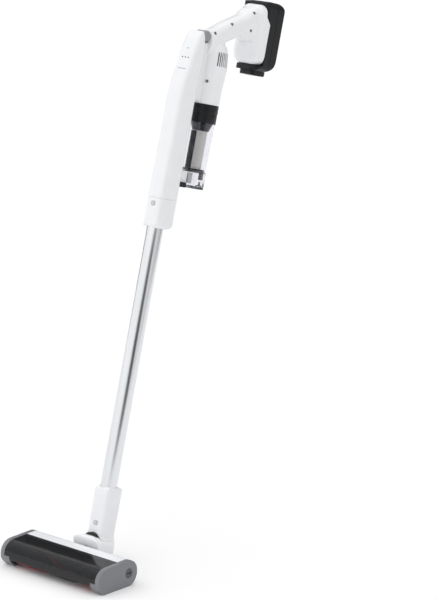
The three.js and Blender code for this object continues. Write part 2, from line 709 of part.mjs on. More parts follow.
function handsetHalf(side) {
  const dockRecess = alongX(outline([
    [dock.rear - 15, dock.top + 3, 0], [dock.rear - 12, dock.top - 21.5, 5], [dock.rear, dock.top - 35.5, 5],
    [dock.rear + 1, dock.top - 36.5, 0], [dock.rear + 1, dock.top + 3, 0],
  ]), -dock.half - 1, dock.half + 1);
  const half = pack.bossHalf + gap;
  const slots = [];
  for (let k = 0; k < vent.count; k++) {
    const angle = THREE.MathUtils.degToRad(vent.pitch * (k - (vent.count - 1) / 2));
    const slot = new THREE.BoxGeometry(vent.width, 12, vent.high - vent.low);
    slots.push(toSolid(slot.translate(0, barrel.belly, (vent.low + vent.high) / 2).rotateZ(angle).translate(0, barrel.t, 0)));
  }
  const skin = cut(
    handsetSkin(0), handsetSkin(shell), dockRecess, ...slots,
    box(-half, half, pack.bossFront - gap, dock.rear + 1, boss.low - gap, boss.high + gap),
    thumbPocket(dock.half),
  );
  const bosses = screws.map(([y, z, x]) => rodX(screwHead.boss, ...mirrored(side, gap / 2, x - 1), y, z, 10));
  const holes = screws.flatMap(([y, z, x]) => [
    rodX(1.7, -8, 40, y, z, 8), rodX(screwHead.radius + gap, x - screwHead.depth - gap, x + 20, y, z, 12),
  ]);
  const [x0, x1] = mirrored(side, gap / 2, 60);
  const room = box(x0, x1, spine.rear + gap, dock.rear + 20, barrel.foot, dock.top + 20);
  return cut(join(skin, ...bosses), ...holes).intersect(room);
}

const boss = { low: 930, high: 986 };

function bodyScrew([y, z, x]) {
  return join(
    rodX(screwHead.radius, x - screwHead.depth, x - 0.5, y, z, 12),
    rodX(1.4, -6, x - screwHead.depth + 0.5, y, z, 8),
  );
}

// ---------- fan and filters, inside the motor housing ----------

function fanMotor() {
  return join(
    rodZ(17.5, 858, 886, 0, barrel.t, 28), rodZ(24.4, 878, 882, 0, barrel.t, 24), rodZ(9, 885, 892, 0, barrel.t, 20),
    rodZ(2, 838, 860, 0, barrel.t, 12),
  );
}

function impeller() {
  const { t } = barrel;
  const blades = [];
  for (let k = 0; k < 9; k++) {
    const blade = new THREE.BoxGeometry(1.2, 12, 8).translate(0, 13, 0).rotateZ((k * 2 * Math.PI) / 9);
    blades.push(toSolid(blade.translate(0, t, 849)));
  }
  return cut(join(rodZ(20, 853, 854.6, 0, t, 24), rodZ(8, 844, 854, 0, t, 24), ...blades), rodZ(2.3, 840, 860, 0, t, 14));
}

const exhaustFilter = () => hollowRodZ(22.6, 2.2, vent.low - 3, vent.high - 2, 0, barrel.t, 24);

function controlBoard() {
  return join(box(-12, 12, 18, 19.6, 850, 915), box(-6, 6, 14, 18.5, 868, 876), box(-9, -4, 15, 18.5, 890, 900));
}

// ---------- dust cup ----------

const rearChamfer = () =>
  alongX(outline([
    [barrel.t + cup.flangeRadius + 4, cup.foot + 13, 0], [barrel.t + cup.flangeRadius - 9.5, cup.foot - 9, 0],
    [barrel.t + cup.flangeRadius + 4, cup.foot - 9, 0],
  ]), -30, 30);

function dustCup() {
  const { ring, step, radius, footRadius, wall, flange, flangeRadius, foot } = cup;
  const skin = (inset, start, end) => [
    [0, start], [flangeRadius - inset, start], [flangeRadius - inset, flange - inset], [footRadius - inset, flange + 2],
    [radius - inset, step - inset], [radius + 0.8 - inset, step], [radius + 0.8 - inset, end], [0, end],
  ];
  return cut(
    turned(skin(0, foot, ring), barrel.t, 28),
    turned(skin(wall, foot - 1, ring + 1), barrel.t, 28),
    box(-port.half - gap, port.half + gap, 20, port.reach, port.low - gap, port.high + gap),
    rearChamfer(),
  );
}

const cupRing = () =>
  cut(
    rodZ(barrel.radius, cup.ring + gap, barrel.foot - gap, 0, barrel.t, 28),
    rodZ(18, cup.ring, barrel.foot - 4, 0, barrel.t, 28),
    rodZ(11, barrel.foot - 6, barrel.foot, 0, barrel.t, 24),
  );

const preFilter = () => rodZ(17.6, cup.ring + 3, barrel.foot - 5, 0, barrel.t, 24);

const filterHead = () =>
  cut(
    turned([[0, filter.top + gap], [filter.headRadius - 5, filter.top + gap], [filter.headRadius, filter.top + 14],
      [filter.headRadius, cup.ring - 0.2], [0, cup.ring - 0.2]], barrel.t, 24),
    rodZ(10.5, filter.top - 1, cup.ring + 1, 0, barrel.t, 24),
  );

const filterCore = () =>
  cut(rodZ(filter.radius, filter.foot, filter.top, 0, barrel.t, 24), rodZ(10.5, filter.foot + 3, filter.top + 1, 0, barrel.t, 24));

// The dark disc under the filter, with the rib that leads the dirty air up to the head.
const filterSkirt = () =>
  cut(
    join(
      rodZ(filter.skirt, filter.foot - 5.6, filter.foot - gap, 0, barrel.t, 24),
      box(-4.5, 4.5, barrel.t - filter.skirt + 0.4, barrel.t - filter.radius - gap, filter.foot - 2, filter.top - gap),
    ),
    rodZ(filter.skirt - 2.9, filter.foot - 7, filter.foot - 2.4, 0, barrel.t, 24),
  );

function inletPort() {
  const { half, low, high, reach } = port;
  const inner = alongX(outline([
    [20, low + 1.6, 0], [reach - 1.6, low + 1.6, 4], [reach - 1.6, high + 1, 0], [reach - 13, high + 1, 0],
    [reach - 13, high - 1.6, 0], [20, high - 1.6, 0],
  ]), -half + 1.6, half - 1.6);
  return cut(box(-half, half, spine.rear + gap, reach - gap, low, high), inner);
}

const hinge = { y: barrel.t - cup.flangeRadius - 3.6, radius: 2.6, pin: 1.1 };
const hingeZ = cup.foot - cup.door / 2;

function cupDoor() {
  const { foot, door, flangeRadius } = cup;
  const plate = rodZ(flangeRadius, foot - door - gap, foot - gap, 0, barrel.t, 28);
  const arm = box(-6, 6, hinge.y, barrel.t - flangeRadius + 4, foot - door - gap, foot - gap);
  const knuckle = join(rodX(hinge.radius, -6, 6, hinge.y, hingeZ, 16), rodX(hinge.pin, -8.5, 8.5, hinge.y, hingeZ, 12));
  return cut(join(plate, arm, knuckle), rearChamfer());
}

// The dark lug between the cup and the spine that carries the door's hinge pin.
function hingeLug() {
  const [low, high] = [hingeZ - 3.2, port.low - 2 * gap];
  const block = box(-12, 12, spine.rear + 2, barrel.t - cup.flangeRadius - 1.4, low, high);
  return cut(
    block,
    box(-6.5, 6.5, hinge.y - hinge.radius - 1.4, barrel.t, low - 1, high + 1),
    rodX(hinge.pin + gap, -9, 9, hinge.y, hingeZ, 12),
  );
}

function doorLatch() {
  const y = barrel.t + cup.flangeRadius;
  return box(-6, 6, y + gap, y + 2.4, cup.foot + 13.6, cup.flange + 3);
}

// ---------- battery pack ----------

function packProfile() {
  return outline([
    [dock.front + 10, pack.foot, 4], [pack.rear, pack.foot, 24], [pack.rear, pack.top, 14],
    [dock.front + 4, pack.top, 3], [dock.front + 4, dock.top + gap, 2], [dock.rear - 14 + gap, dock.top + gap, 0],
    [dock.rear - 12 + gap, dock.top - 21.5 + gap, 5], [dock.rear + gap, dock.top - 35.5 + gap, 5],
    [dock.rear + gap, dock.foot - gap, 0], [dock.front + 10, dock.foot - gap, 2],
  ]);
}

function batteryCase() {
  const { bossHalf, bossFront, rear, foot, tabHalf } = pack;
  const face = rectangle(-dock.half, dock.half, foot - 1, pack.top + 1, 14);
  const slab = alongX(packProfile(), -dock.half - 1, dock.half + 1).intersect(alongY(face, 100, rear + 1));
  const block = box(-bossHalf, bossHalf, bossFront, dock.rear + 2, boss.low, boss.high);
  const inside = join(
    box(-dock.half + shell, dock.half - shell, dock.rear + gap + shell, rear - shell, cellZ[0] - 1, cellZ[1] + 1),
    box(-bossHalf + shell, bossHalf - shell, bossFront + shell, dock.rear + 6, boss.low + shell, boss.high - shell),
    box(-8, 8, bossFront - 1, bossFront + 4, 950, 966),
  );
  return cut(
    join(slab, block), inside,
    box(-tabHalf - gap, tabHalf + gap, dock.front + 17, rear - 7, foot - 1, foot + button.travel + 0.8),
  );
}

const cellZ = [932.4, 932.4 + cell.length];
// Five cells in two layers, held by a plate at mid height.
function batteryCells() {
  const middle = (boss.low + boss.high) / 2;
  const rear = pack.rear - shell - running - cell.radius;
  const nearer = rear - cell.pitch * Math.sin(Math.PI / 3);
  const cells = [-1, 0, 1].map((k) => rodZ(cell.radius, cellZ[0], cellZ[1], k * cell.pitch, rear, 16));
  const low = boss.low + shell + running;
  for (const k of [-0.5, 0.5]) cells.push(rodZ(cell.radius, low, boss.high - shell - running, k * cell.pitch, nearer, 16));
  return join(box(-20, 20, nearer - 2, rear + 5, middle, middle + 2), ...cells);
}

function packLatch() {
  const shape = outline([
    [dock.front + 18, pack.tabFoot, 3], [pack.rear - 10, pack.tabFoot, 5], [pack.rear - 8, pack.foot + 0.6, 0],
    [dock.front + 18, pack.foot + 0.6, 0],
  ]);
  return alongX(shape, -pack.tabHalf, pack.tabHalf);
}

// ---------- the assembly ----------

place(floorHead, "top_cover", whiteAbs, topCover());
place(floorHead, "roller_window", smoke, rollerWindow());
place(floorHead, "front_bumper", blackAbs, frontBumper());
for (const [side, sign] of sides) place(floorHead, "end_cap_" + side, greyAbs, endCap(sign));
place(floorHead, "end_cap_lock", greyAbs, endCapLock());
place(floorHead, "sole_plate", blackAbs, solePlate());
place(floorHead, "glide_strip", felt, glideStrip());
place(floorHead, "brush_motor", steel, brushMotor());
place(floorHead, "motor_pulley", steel, pulley(drive.small, 2, drive.y, drive.z));
place(floorHead, "drive_belt", rubber, driveBelt());
place(floorHead, "suction_duct", blackAbs, suctionDuct());
place(floorHead, "flex_hose", rubber, flexHose());
place(floorHead, "neck_bracket", blackAbs, neckBracket());
for (const [side, sign] of sides) {
  place(floorHead, "tilt_pin_" + side, steel, tiltPin(sign));
  place(floorHead, "rear_wheel_" + side, rubber, rearWheel(sign));
  place(floorHead, "roller_bearing_" + side, copper, rollerBearing(sign));
}
place(floorHead, "roller_core", blackAbs, rollerCore());
place(floorHead, "brush_pulley", steel, pulley(drive.large, roller.shaft, roller.y, roller.z));
[0, 1, 2, 3].forEach((k) => {
  const red = k % 2 === 0;
  place(floorHead, (red ? "red_bristle_row_" : "black_bristle_row_") + (1 + (k >> 1)),
    red ? redBristle : blackBristle, bristleRow((k * Math.PI) / 2));
});

const upper = new THREE.Group(); // the collar and the handset
upper.position.z = tube.head - drawnHead;
stick.add(upper);

place(stick, "neck_yoke", whiteAbs, neckYoke());
place(stick, "swivel_duct", blackAbs, swivelDuct());
place(stick, "neck_socket", whiteAbs, neckSocket());
place(stick, "head_release_button", buttonGrey, releaseButton(button.socketZ));
place(stick, "extension_tube", aluminium, extensionTube());
place(upper, "tube_collar", whiteAbs, tubeCollar());
place(upper, "tube_release_button", buttonGrey, releaseButton(button.collarZ));
place(upper, "spine_cover", whiteAbs, spineCover());
place(upper, "cup_release_button", blackAbs, cupReleaseButton());
place(upper, "light_pipe", clear, lightPipe());
place(upper, "thumb_button", buttonGrey, thumbButton());
place(upper, "control_board", board, controlBoard());
for (const [side, sign] of sides) place(upper, "handset_shell_" + side, whiteAbs, handsetHalf(sign));
screws.forEach((spot, i) => place(upper, "body_screw_" + (i + 1), steel, bodyScrew(spot)));
place(upper, "fan_motor", steel, fanMotor());
place(upper, "impeller", blackAbs, impeller());
place(upper, "exhaust_filter", felt, exhaustFilter());
place(upper, "dust_cup", clear, dustCup());
place(upper, "cup_ring", blackAbs, cupRing());
place(upper, "pre_filter", felt, preFilter());
place(upper, "filter_head", smoke, filterHead());
place(upper, "filter_core", paper, filterCore());
place(upper, "filter_skirt", smoke, filterSkirt());
place(upper, "inlet_port", whiteAbs, inletPort());
place(upper, "cup_door", blackAbs, cupDoor());
place(upper, "hinge_lug", blackAbs, hingeLug());
place(upper, "door_latch", blackAbs, doorLatch());
place(upper, "battery_case", blackAbs, batteryCase());
place(upper, "battery_cells", cellWrap, batteryCells());
place(upper, "pack_latch", blackAbs, packLatch());

export default vacuum;
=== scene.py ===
"""A cordless stick vacuum cleaner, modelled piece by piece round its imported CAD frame.

Sizes in the modelling functions are millimetres, in the frame's own axes: +Z up, +X to the
right-hand end cap, +Y towards the grip. Pieces of the stick are modelled upright, with Z running up
the stick from the neck's tilt axis, and are then leaned back into place.
"""

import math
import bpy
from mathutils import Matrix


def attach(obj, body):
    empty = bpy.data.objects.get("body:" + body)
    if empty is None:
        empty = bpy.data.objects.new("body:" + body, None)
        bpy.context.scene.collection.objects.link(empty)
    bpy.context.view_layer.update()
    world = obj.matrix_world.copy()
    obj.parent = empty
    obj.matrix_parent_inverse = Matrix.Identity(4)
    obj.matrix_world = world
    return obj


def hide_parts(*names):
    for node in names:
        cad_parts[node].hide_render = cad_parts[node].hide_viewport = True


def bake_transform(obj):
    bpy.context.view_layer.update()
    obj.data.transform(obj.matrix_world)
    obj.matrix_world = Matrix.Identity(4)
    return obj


bl_info = {
    "name": "Cordless Stick Vacuum",
    "version": (1, 0, 0),
    "blender": (4, 5, 0),
    "location": "View3D > Sidebar > Vacuum",
    "description": "Models a cordless stick vacuum cleaner round its CAD frame",
    "category": "Object",
}

import bmesh
import bpy
from bpy.props import FloatProperty, FloatVectorProperty, PointerProperty
from mathutils import Matrix, Vector

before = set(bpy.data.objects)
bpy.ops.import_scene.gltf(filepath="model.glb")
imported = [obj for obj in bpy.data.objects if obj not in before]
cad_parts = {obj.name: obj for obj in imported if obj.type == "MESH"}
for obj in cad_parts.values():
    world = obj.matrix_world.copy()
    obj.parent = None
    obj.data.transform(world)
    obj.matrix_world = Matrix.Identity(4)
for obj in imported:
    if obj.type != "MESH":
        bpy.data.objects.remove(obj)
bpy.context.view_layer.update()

MM = 0.001
GAP = 0.3  # between pieces that touch
SHELL = 2.2  # wall of the moulded covers
TURN = 2 * math.pi

# ---------- places that pieces share, in millimetres ----------

HEAD = {"front": -65.2, "rear": 31.0, "top": 48.0, "chin_top": 14.0, "window_rear": -6.2}
CAP_INNER = 113.5
CAP_OUTER = 122.5
CHIN_INNER = 101.5
BUMPER = (14.0, 28.5)
ROLLER = {"y": -36.0, "z": 20.8, "core": 13.5, "tips": 20.2, "half": 101.0}
LOCK = {"radius": 8.5, "y": 10.5, "z": 24.0}
NOTCH = {"half": 33.6, "front": 15.0}
HOSE = {"bore": 7.2, "root": 8.6, "rib": 9.5, "front": 15.3, "rear": 32.8, "z": 30}
TILT = {"y": 52.7, "z": 17.1, "lean": 15.344, "half": 31.0, "barrel": 12.0}
SWIVEL = {"up": 24.0, "core": 18.0, "ring": 4.4, "front": -19.0, "rear": 18.0}
SLEEVE = {"half": 19.2, "front": -17.0, "rear": 20.6, "corner": 8.0}
SOCKET_TOP = 126.5
COLLAR = (593.5, 647.5)
TUBE = {"radius": 14.85, "foot": 70.0, "head": 619.0}
SPINE = {"foot": 647.8, "bend": 846.0, "top": 951.5, "rear": 27.0, "slant_top": 9.0}
BARREL = {"t": 72.0, "radius": 25.4, "foot": 826.0, "belly": 27.6, "belly_at": 890.0, "top": 944.0}
VENTS = {"low": 896.0, "high": 921.0, "width": 2.5, "pitch": 9.0, "count": 27}
CUP = {"ring": 809.5, "step": 792.5, "radius": 24.2, "foot_radius": 22.0, "wall": 1.6,
       "flange": 704.0, "flange_radius": 23.8, "foot": 678.5, "door": 4.4}
FILTER = {"radius": 13.0, "foot": 709.0, "top": 777.5, "skirt": 19.4, "head": 20.0}
DOCK = {"front": 146.0, "rear": 175.0, "half": 30.0, "foot": 912.5, "top": 1022.0}
PACK = {"rear": 208.0, "top": 1029.0, "foot": 902.5, "tab_foot": 894.0, "tab_half": 17.0}
THUMB = {"y": 33.2, "z": 945.0, "radius": 9.4, "half": 12.5, "travel": 1.5}
CUP_BUTTON = {"y": 5.0, "z": 779.5, "width": 14.0, "height": 21.0}

LEANED = (Matrix.Translation((0, TILT["y"], TILT["z"]))
          @ Matrix.Rotation(-math.radians(TILT["lean"]), 4, "X"))
STANDING = Matrix.Identity(4)


# ---------- shapes, in millimetres ----------

def outlined(corners, place):
    """One flat face through the corners (u, v, radius), each rounded; place gives its points."""
    bm = bmesh.new()
    verts = [bm.verts.new(place(c[0], c[1])) for c in corners]
    bm.faces.new(verts)
    count = len(corners)
    for i, corner in enumerate(corners):
        radius = corner[2] if len(corner) > 2 else 0
        if radius <= 0:
            continue
        at = Vector(corner[:2])
        back = (Vector(corners[i - 1][:2]) - at).normalized()
        on = (Vector(corners[(i + 1) % count][:2]) - at).normalized()
        half = back.angle(on) / 2
        steps = max(2, int(math.sqrt(radius) * 3.2))
        bmesh.ops.bevel(bm, geom=[verts[i]], offset=radius / math.tan(half), offset_type="OFFSET",
                        segments=steps, profile=0.5, affect="VERTICES", material=-1)
    return bm


def prism(corners, axis, low, high):
    """The outline pushed along an axis: (u, v) are (Y, Z), (X, Z) or (X, Y)."""
    places = {"X": lambda u, v: (low, u, v), "Y": lambda u, v: (u, low, v), "Z": lambda u, v: (u, v, low)}
    bm = outlined(corners, places[axis])
    made = bmesh.ops.extrude_face_region(bm, geom=bm.faces[:])
    moved = [g for g in made["geom"] if isinstance(g, bmesh.types.BMVert)]
    way = Vector((axis == "X", axis == "Y", axis == "Z")) * (high - low)
    bmesh.ops.translate(bm, verts=moved, vec=way)
    bmesh.ops.recalc_face_normals(bm, faces=bm.faces[:])
    return bm


def block(x0, x1, y0, y1, z0, z1):
    bm = bmesh.new()
    bmesh.ops.create_cube(bm, size=1)
    bmesh.ops.scale(bm, verts=bm.verts[:], vec=(x1 - x0, y1 - y0, z1 - z0))
    bmesh.ops.translate(bm, verts=bm.verts[:], vec=((x0 + x1) / 2, (y0 + y1) / 2, (z0 + z1) / 2))
    return bm


def turned(corners, axis="Z", at=(0.0, 0.0), steps=96):
    """The outline (radius, height, rounding) spun about an axis through at."""
    a, b = at
    places = {"Z": lambda r, h: (a + r, b, h), "X": lambda r, h: (h, a + r, b), "Y": lambda r, h: (a + r, h, b)}
    bm = outlined(corners, places[axis])
    bmesh.ops.delete(bm, geom=bm.faces[:], context="FACES_ONLY")
    centre = {"Z": (a, b, 0), "X": (0, a, b), "Y": (a, 0, b)}[axis]
    way = {"Z": (0, 0, 1), "X": (1, 0, 0), "Y": (0, 1, 0)}[axis]
    bmesh.ops.spin(bm, geom=bm.verts[:] + bm.edges[:], cent=centre, axis=way, angle=TURN,
                   steps=steps, use_merge=True, use_duplicate=False)
    bmesh.ops.remove_doubles(bm, verts=bm.verts[:], dist=0.002)
    bmesh.ops.dissolve_degenerate(bm, edges=bm.edges[:], dist=0.001)
    bmesh.ops.recalc_face_normals(bm, faces=bm.faces[:])
    return bm


def rod(axis, radius, low, high, at=(0.0, 0.0), rounding=0.3, steps=64):
    return turned([(0, low), (radius, low, rounding), (radius, high, rounding), (0, high)], axis, at, steps)


def pipe(axis, radius, wall, low, high, at=(0.0, 0.0), rounding=0.25, steps=96):
    corners = [(radius - wall, low, rounding), (radius, low, rounding), (radius, high, rounding),
               (radius - wall, high, rounding)]
    return turned(corners, axis, at, steps)


def hoop(bm, plane, level, centre, half, radius, steps=5):
    """A rounded rectangle of edges: plane is "Z" for one that lies flat, "Y" for one that stands."""
    ring = bmesh.ops.create_circle(bm, cap_ends=False, segments=4 * (steps + 1), radius=1)["verts"]
    signs = ((1, 1), (-1, 1), (-1, -1), (1, -1))
    for i, vert in enumerate(ring):
        quarter, part = divmod(i, steps + 1)
        angle = (quarter + part / steps) * math.pi / 2
        u = centre[0] + signs[quarter][0] * (half[0] - radius) + radius * math.cos(angle)
        v = centre[1] + signs[quarter][1] * (half[1] - radius) + radius * math.sin(angle)
        vert.co = (u, v, level) if plane == "Z" else (u, level, v)
    return list({edge for vert in ring for edge in vert.link_edges})


def lofted(plane, stations, steps=5):
    """A closed skin through hoops (level, centre, half sizes, corner radius)."""
    bm = bmesh.new()
    rings = [hoop(bm, plane, *station, steps=steps) for station in stations]
    for low, high in zip(rings, rings[1:]):
        bmesh.ops.bridge_loops(bm, edges=low + high)
    for ring in (rings[0], rings[-1]):
        bmesh.ops.contextual_create(bm, geom=ring)
    bmesh.ops.recalc_face_normals(bm, faces=bm.faces[:])
    return bm


def scratch_object(bm):
    mesh = bpy.data.meshes.new("scratch")
    bm.to_mesh(mesh)
    bm.free()
    scratch = bpy.data.objects.new("scratch", mesh)
    bpy.context.scene.collection.objects.link(scratch)
    return scratch


def evaluated(scratch):
    """The scratch object's mesh with its modifiers, as a bmesh."""
    graph = bpy.context.evaluated_depsgraph_get()
    mesh = bpy.data.meshes.new_from_object(scratch.evaluated_get(graph))
    bm = bmesh.new()
    bm.from_mesh(mesh)
    bpy.data.meshes.remove(mesh)
    return bm


def combined(base, tools, operation="DIFFERENCE"):
    """Cuts the tools from the base, or joins or intersects them with it."""
    body = scratch_object(base)
    others = [scratch_object(tool) for tool in tools]
    for other in others:
        mod = body.modifiers.new("Boolean", "BOOLEAN")
        mod.object = other
        mod.operation = operation
        mod.solver = "EXACT"
    bm = evaluated(body)
    for used in [body] + others:
        mesh = used.data
        bpy.data.objects.remove(used)
        bpy.data.meshes.remove(mesh)
    bmesh.ops.remove_doubles(bm, verts=bm.verts[:], dist=0.0005)
    return bm


def melted(bm, voxel, passes):
    """Fuses overlapping shapes into one skin with soft fillets where they meet."""
    body = scratch_object(bm)
    mod = body.modifiers.new("Remesh", "REMESH")
    mod.mode = "VOXEL"
    mod.voxel_size = voxel
    mod.adaptivity = 0
    made = evaluated(body)
    mesh = body.data
    bpy.data.objects.remove(body)
    bpy.data.meshes.remove(mesh)
    for _ in range(passes):
        bmesh.ops.smooth_vert(made, verts=made.verts[:], factor=0.5, use_axis_x=True, use_axis_y=True,
                              use_axis_z=True)
    return made


def gathered(parts):
    """Several shapes in one bmesh, left as they are."""
    bm = bmesh.new()
    for part in parts:
        mesh = bpy.data.meshes.new("scratch")
        part.to_mesh(mesh)
        part.free()
        bm.from_mesh(mesh)
        bpy.data.meshes.remove(mesh)
    return bm


def cad_copy(node):
    """A merged copy of a CAD node's mesh, in millimetres."""
    bm = bmesh.new()
    bm.from_mesh(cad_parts[node].data)
    bmesh.ops.scale(bm, verts=bm.verts[:], vec=(1 / MM, 1 / MM, 1 / MM))
    bmesh.ops.remove_doubles(bm, verts=bm.verts[:], dist=0.001)
    bmesh.ops.dissolve_limit(bm, angle_limit=math.radians(0.5), verts=bm.verts[:], edges=bm.edges[:])
    return bm


def piece(name, bm, finish, body, nodes=(), leaning=False, edge=0.0, angle=32.0, segments=2, bend=None):
    """Puts a shape in place as a piece of its own, softens its edges and ties it to its CAD body."""
    bm.transform(Matrix.Scale(MM, 4) @ (LEANED if leaning else STANDING))
    mesh = bpy.data.meshes.new(name)
    bm.to_mesh(mesh)
    bm.free()
    mesh.shade_smooth()
    mesh.set_sharp_from_angle(angle=math.radians(angle))
    made = bpy.data.objects.new(name, mesh)
    bpy.context.scene.collection.objects.link(made)
    slot, material = FINISHES[finish]
    mesh.materials.append(material())
    if edge:
        mod = made.modifiers.new("Soft edges", "BEVEL")
        mod.width = edge * MM
        mod.segments = segments
        mod.limit_method = "ANGLE"
        mod.angle_limit = math.radians(angle)
        mod.harden_normals = False
    if bend:
        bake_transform(made)
    else:
        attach(made, body)
    if nodes:
        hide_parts(*nodes)
    return made


# ---------- materials ----------

def linear(code):
    """The linear colour of an sRGB hex value."""
    parts = [int(code[i:i + 2], 16) / 255 for i in (1, 3, 5)]
    return tuple(p / 12.92 if p <= 0.04045 else ((p + 0.055) / 1.055) ** 2.4 for p in parts) + (1.0,)


def add_node(tree, kind, settings=None, inputs=None):
    """Adds a node; inputs are values, or (node, output) pairs to link from."""
    made = tree.nodes.new(kind)
    for key, value in (settings or {}).items():
        setattr(made, key, value)
    for key, value in (inputs or {}).items():
        if isinstance(value, tuple) and len(value) == 2 and isinstance(value[0], bpy.types.Node):
            tree.links.new(value[0].outputs[value[1]], made.inputs[key])
        else:
            made.inputs[key].default_value = value
    return made


def blank(name):
    material = bpy.data.materials.new(name)
    material.use_nodes = True
    tree = material.node_tree
    tree.nodes.clear()
    return material, tree


def surfaced(tree, shader):
    add_node(tree, "ShaderNodeOutputMaterial", inputs={"Surface": (shader, "BSDF")})


def stick_space(tree, scale=(1, 1, 1)):
    """Object coordinates turned upright, so that Z runs along the leaning stick."""
    coords = add_node(tree, "ShaderNodeTexCoord")
    upright = add_node(tree, "ShaderNodeMapping", inputs={
        "Vector": (coords, "Object"), "Rotation": (math.radians(TILT["lean"]), 0, 0)})
    return add_node(tree, "ShaderNodeMapping", inputs={"Vector": (upright, "Vector"), "Scale": scale})


def two_tones(tree, noise, darker, lighter):
    return add_node(tree, "ShaderNodeMix", {"data_type": "RGBA"}, {
        0: (noise, "Fac"), 6: linear(darker), 7: linear(lighter)})


def cached(maker, *values, **named):
    """Makes a material at its first use, and gives the same one after that."""
    kept = []

    def get():
        if not kept:
            kept.append(maker(*values, **named))
        return kept[0]
    return get


def moulded(name, code, darker, rough, ripple_mm, ripple, grain_mm=0.0, grain=0.0, specular=0.5):
    """Injection-moulded plastic: a slow ripple from the mould, and a fine texture on satin faces."""
    material, tree = blank(name)
    coords = add_node(tree, "ShaderNodeTexCoord")
    slow = add_node(tree, "ShaderNodeTexNoise", inputs={
        "Vector": (coords, "Object"), "Scale": 1 / (ripple_mm * MM), "Detail": 1.5})
    tint = two_tones(tree, slow, darker, code)
    sheen = add_node(tree, "ShaderNodeMapRange", inputs={
        "Value": (slow, "Fac"), "From Min": 0.3, "From Max": 0.7, "To Min": rough * 0.88, "To Max": rough * 1.12})
    bump = add_node(tree, "ShaderNodeBump", inputs={
        "Height": (slow, "Fac"), "Strength": ripple, "Distance": 0.0002})
    if grain:
        fine = add_node(tree, "ShaderNodeTexNoise", inputs={
            "Vector": (coords, "Object"), "Scale": 1 / (grain_mm * MM), "Detail": 2})
        bump = add_node(tree, "ShaderNodeBump", inputs={
            "Height": (fine, "Fac"), "Strength": grain, "Distance": 0.0001, "Normal": (bump, "Normal")})
    shader = add_node(tree, "ShaderNodeBsdfPrincipled", inputs={
        "Base Color": (tint, 2), "Roughness": (sheen, "Result"), "IOR": 1.53, "Specular IOR Level": specular,
        "Normal": (bump, "Normal")})
    surfaced(tree, shader)
    return material


def see_through(name, code, rough, ior):
    material, tree = blank(name)
    coords = add_node(tree, "ShaderNodeTexCoord")
    flow = add_node(tree, "ShaderNodeTexNoise", inputs={"Vector": (coords, "Object"), "Scale": 45, "Detail": 1})
    bump = add_node(tree, "ShaderNodeBump", inputs={
        "Height": (flow, "Fac"), "Strength": 0.06, "Distance": 0.0003})
    shader = add_node(tree, "ShaderNodeBsdfPrincipled", inputs={
        "Base Color": linear(code), "Roughness": rough, "IOR": ior, "Transmission Weight": 1.0,
        "Normal": (bump, "Normal")})
    surfaced(tree, shader)
    return material


def brushed_aluminium():
    """Anodised aluminium tube, brushed along its length, so the shine stretches across the lines.

    The brush lines are drawn 0.7 mm apart, coarser than the real ones, so that they still show.
    """
    material, tree = blank("Brushed anodised aluminium")
    lines = stick_space(tree, (1 / (0.7 * MM), 1 / (0.7 * MM), 1 / (90 * MM)))
    noise = add_node(tree, "ShaderNodeTexNoise", inputs={"Vector": (lines, "Vector"), "Scale": 1, "Detail": 3})
    tint = two_tones(tree, noise, "#D2D4D7", "#EEEFF0")
    rough = add_node(tree, "ShaderNodeMapRange", inputs={
        "Value": (noise, "Fac"), "To Min": 0.18, "To Max": 0.27})
    bump = add_node(tree, "ShaderNodeBump", inputs={
        "Height": (noise, "Fac"), "Strength": 0.15, "Distance": 0.00008})
    shader = add_node(tree, "ShaderNodeBsdfPrincipled", inputs={
        "Base Color": (tint, 2), "Metallic": 1.0, "Roughness": (rough, "Result"), "Normal": (bump, "Normal")})
    surfaced(tree, shader)
    return material


def metal(name, code, darker, rough):
    material, tree = blank(name)
    coords = add_node(tree, "ShaderNodeTexCoord")
    noise = add_node(tree, "ShaderNodeTexNoise", inputs={"Vector": (coords, "Object"), "Scale": 900, "Detail": 2})
    tint = two_tones(tree, noise, darker, code)
    spread = add_node(tree, "ShaderNodeMapRange", inputs={
        "Value": (noise, "Fac"), "To Min": rough * 0.8, "To Max": rough * 1.2})
    shader = add_node(tree, "ShaderNodeBsdfPrincipled", inputs={
        "Base Color": (tint, 2), "Metallic": 1.0, "Roughness": (spread, "Result")})
    surfaced(tree, shader)
    return material


def fibrous(name, code, darker, fibre_mm, rough):
    """Fibres or filaments: short-scale light and dark, no shine, a soft sheen at grazing angles."""
    material, tree = blank(name)
    coords = add_node(tree, "ShaderNodeTexCoord")
    noise = add_node(tree, "ShaderNodeTexNoise", inputs={
        "Vector": (coords, "Object"), "Scale": 1 / (fibre_mm * MM), "Detail": 4, "Roughness": 0.65})
    tint = two_tones(tree, noise, darker, code)
    bump = add_node(tree, "ShaderNodeBump", inputs={
        "Height": (noise, "Fac"), "Strength": 0.5, "Distance": 0.0003})
    shader = add_node(tree, "ShaderNodeBsdfPrincipled", inputs={
        "Base Color": (tint, 2), "Roughness": rough, "Sheen Weight": 0.25, "Normal": (bump, "Normal")})
    surfaced(tree, shader)
    return material


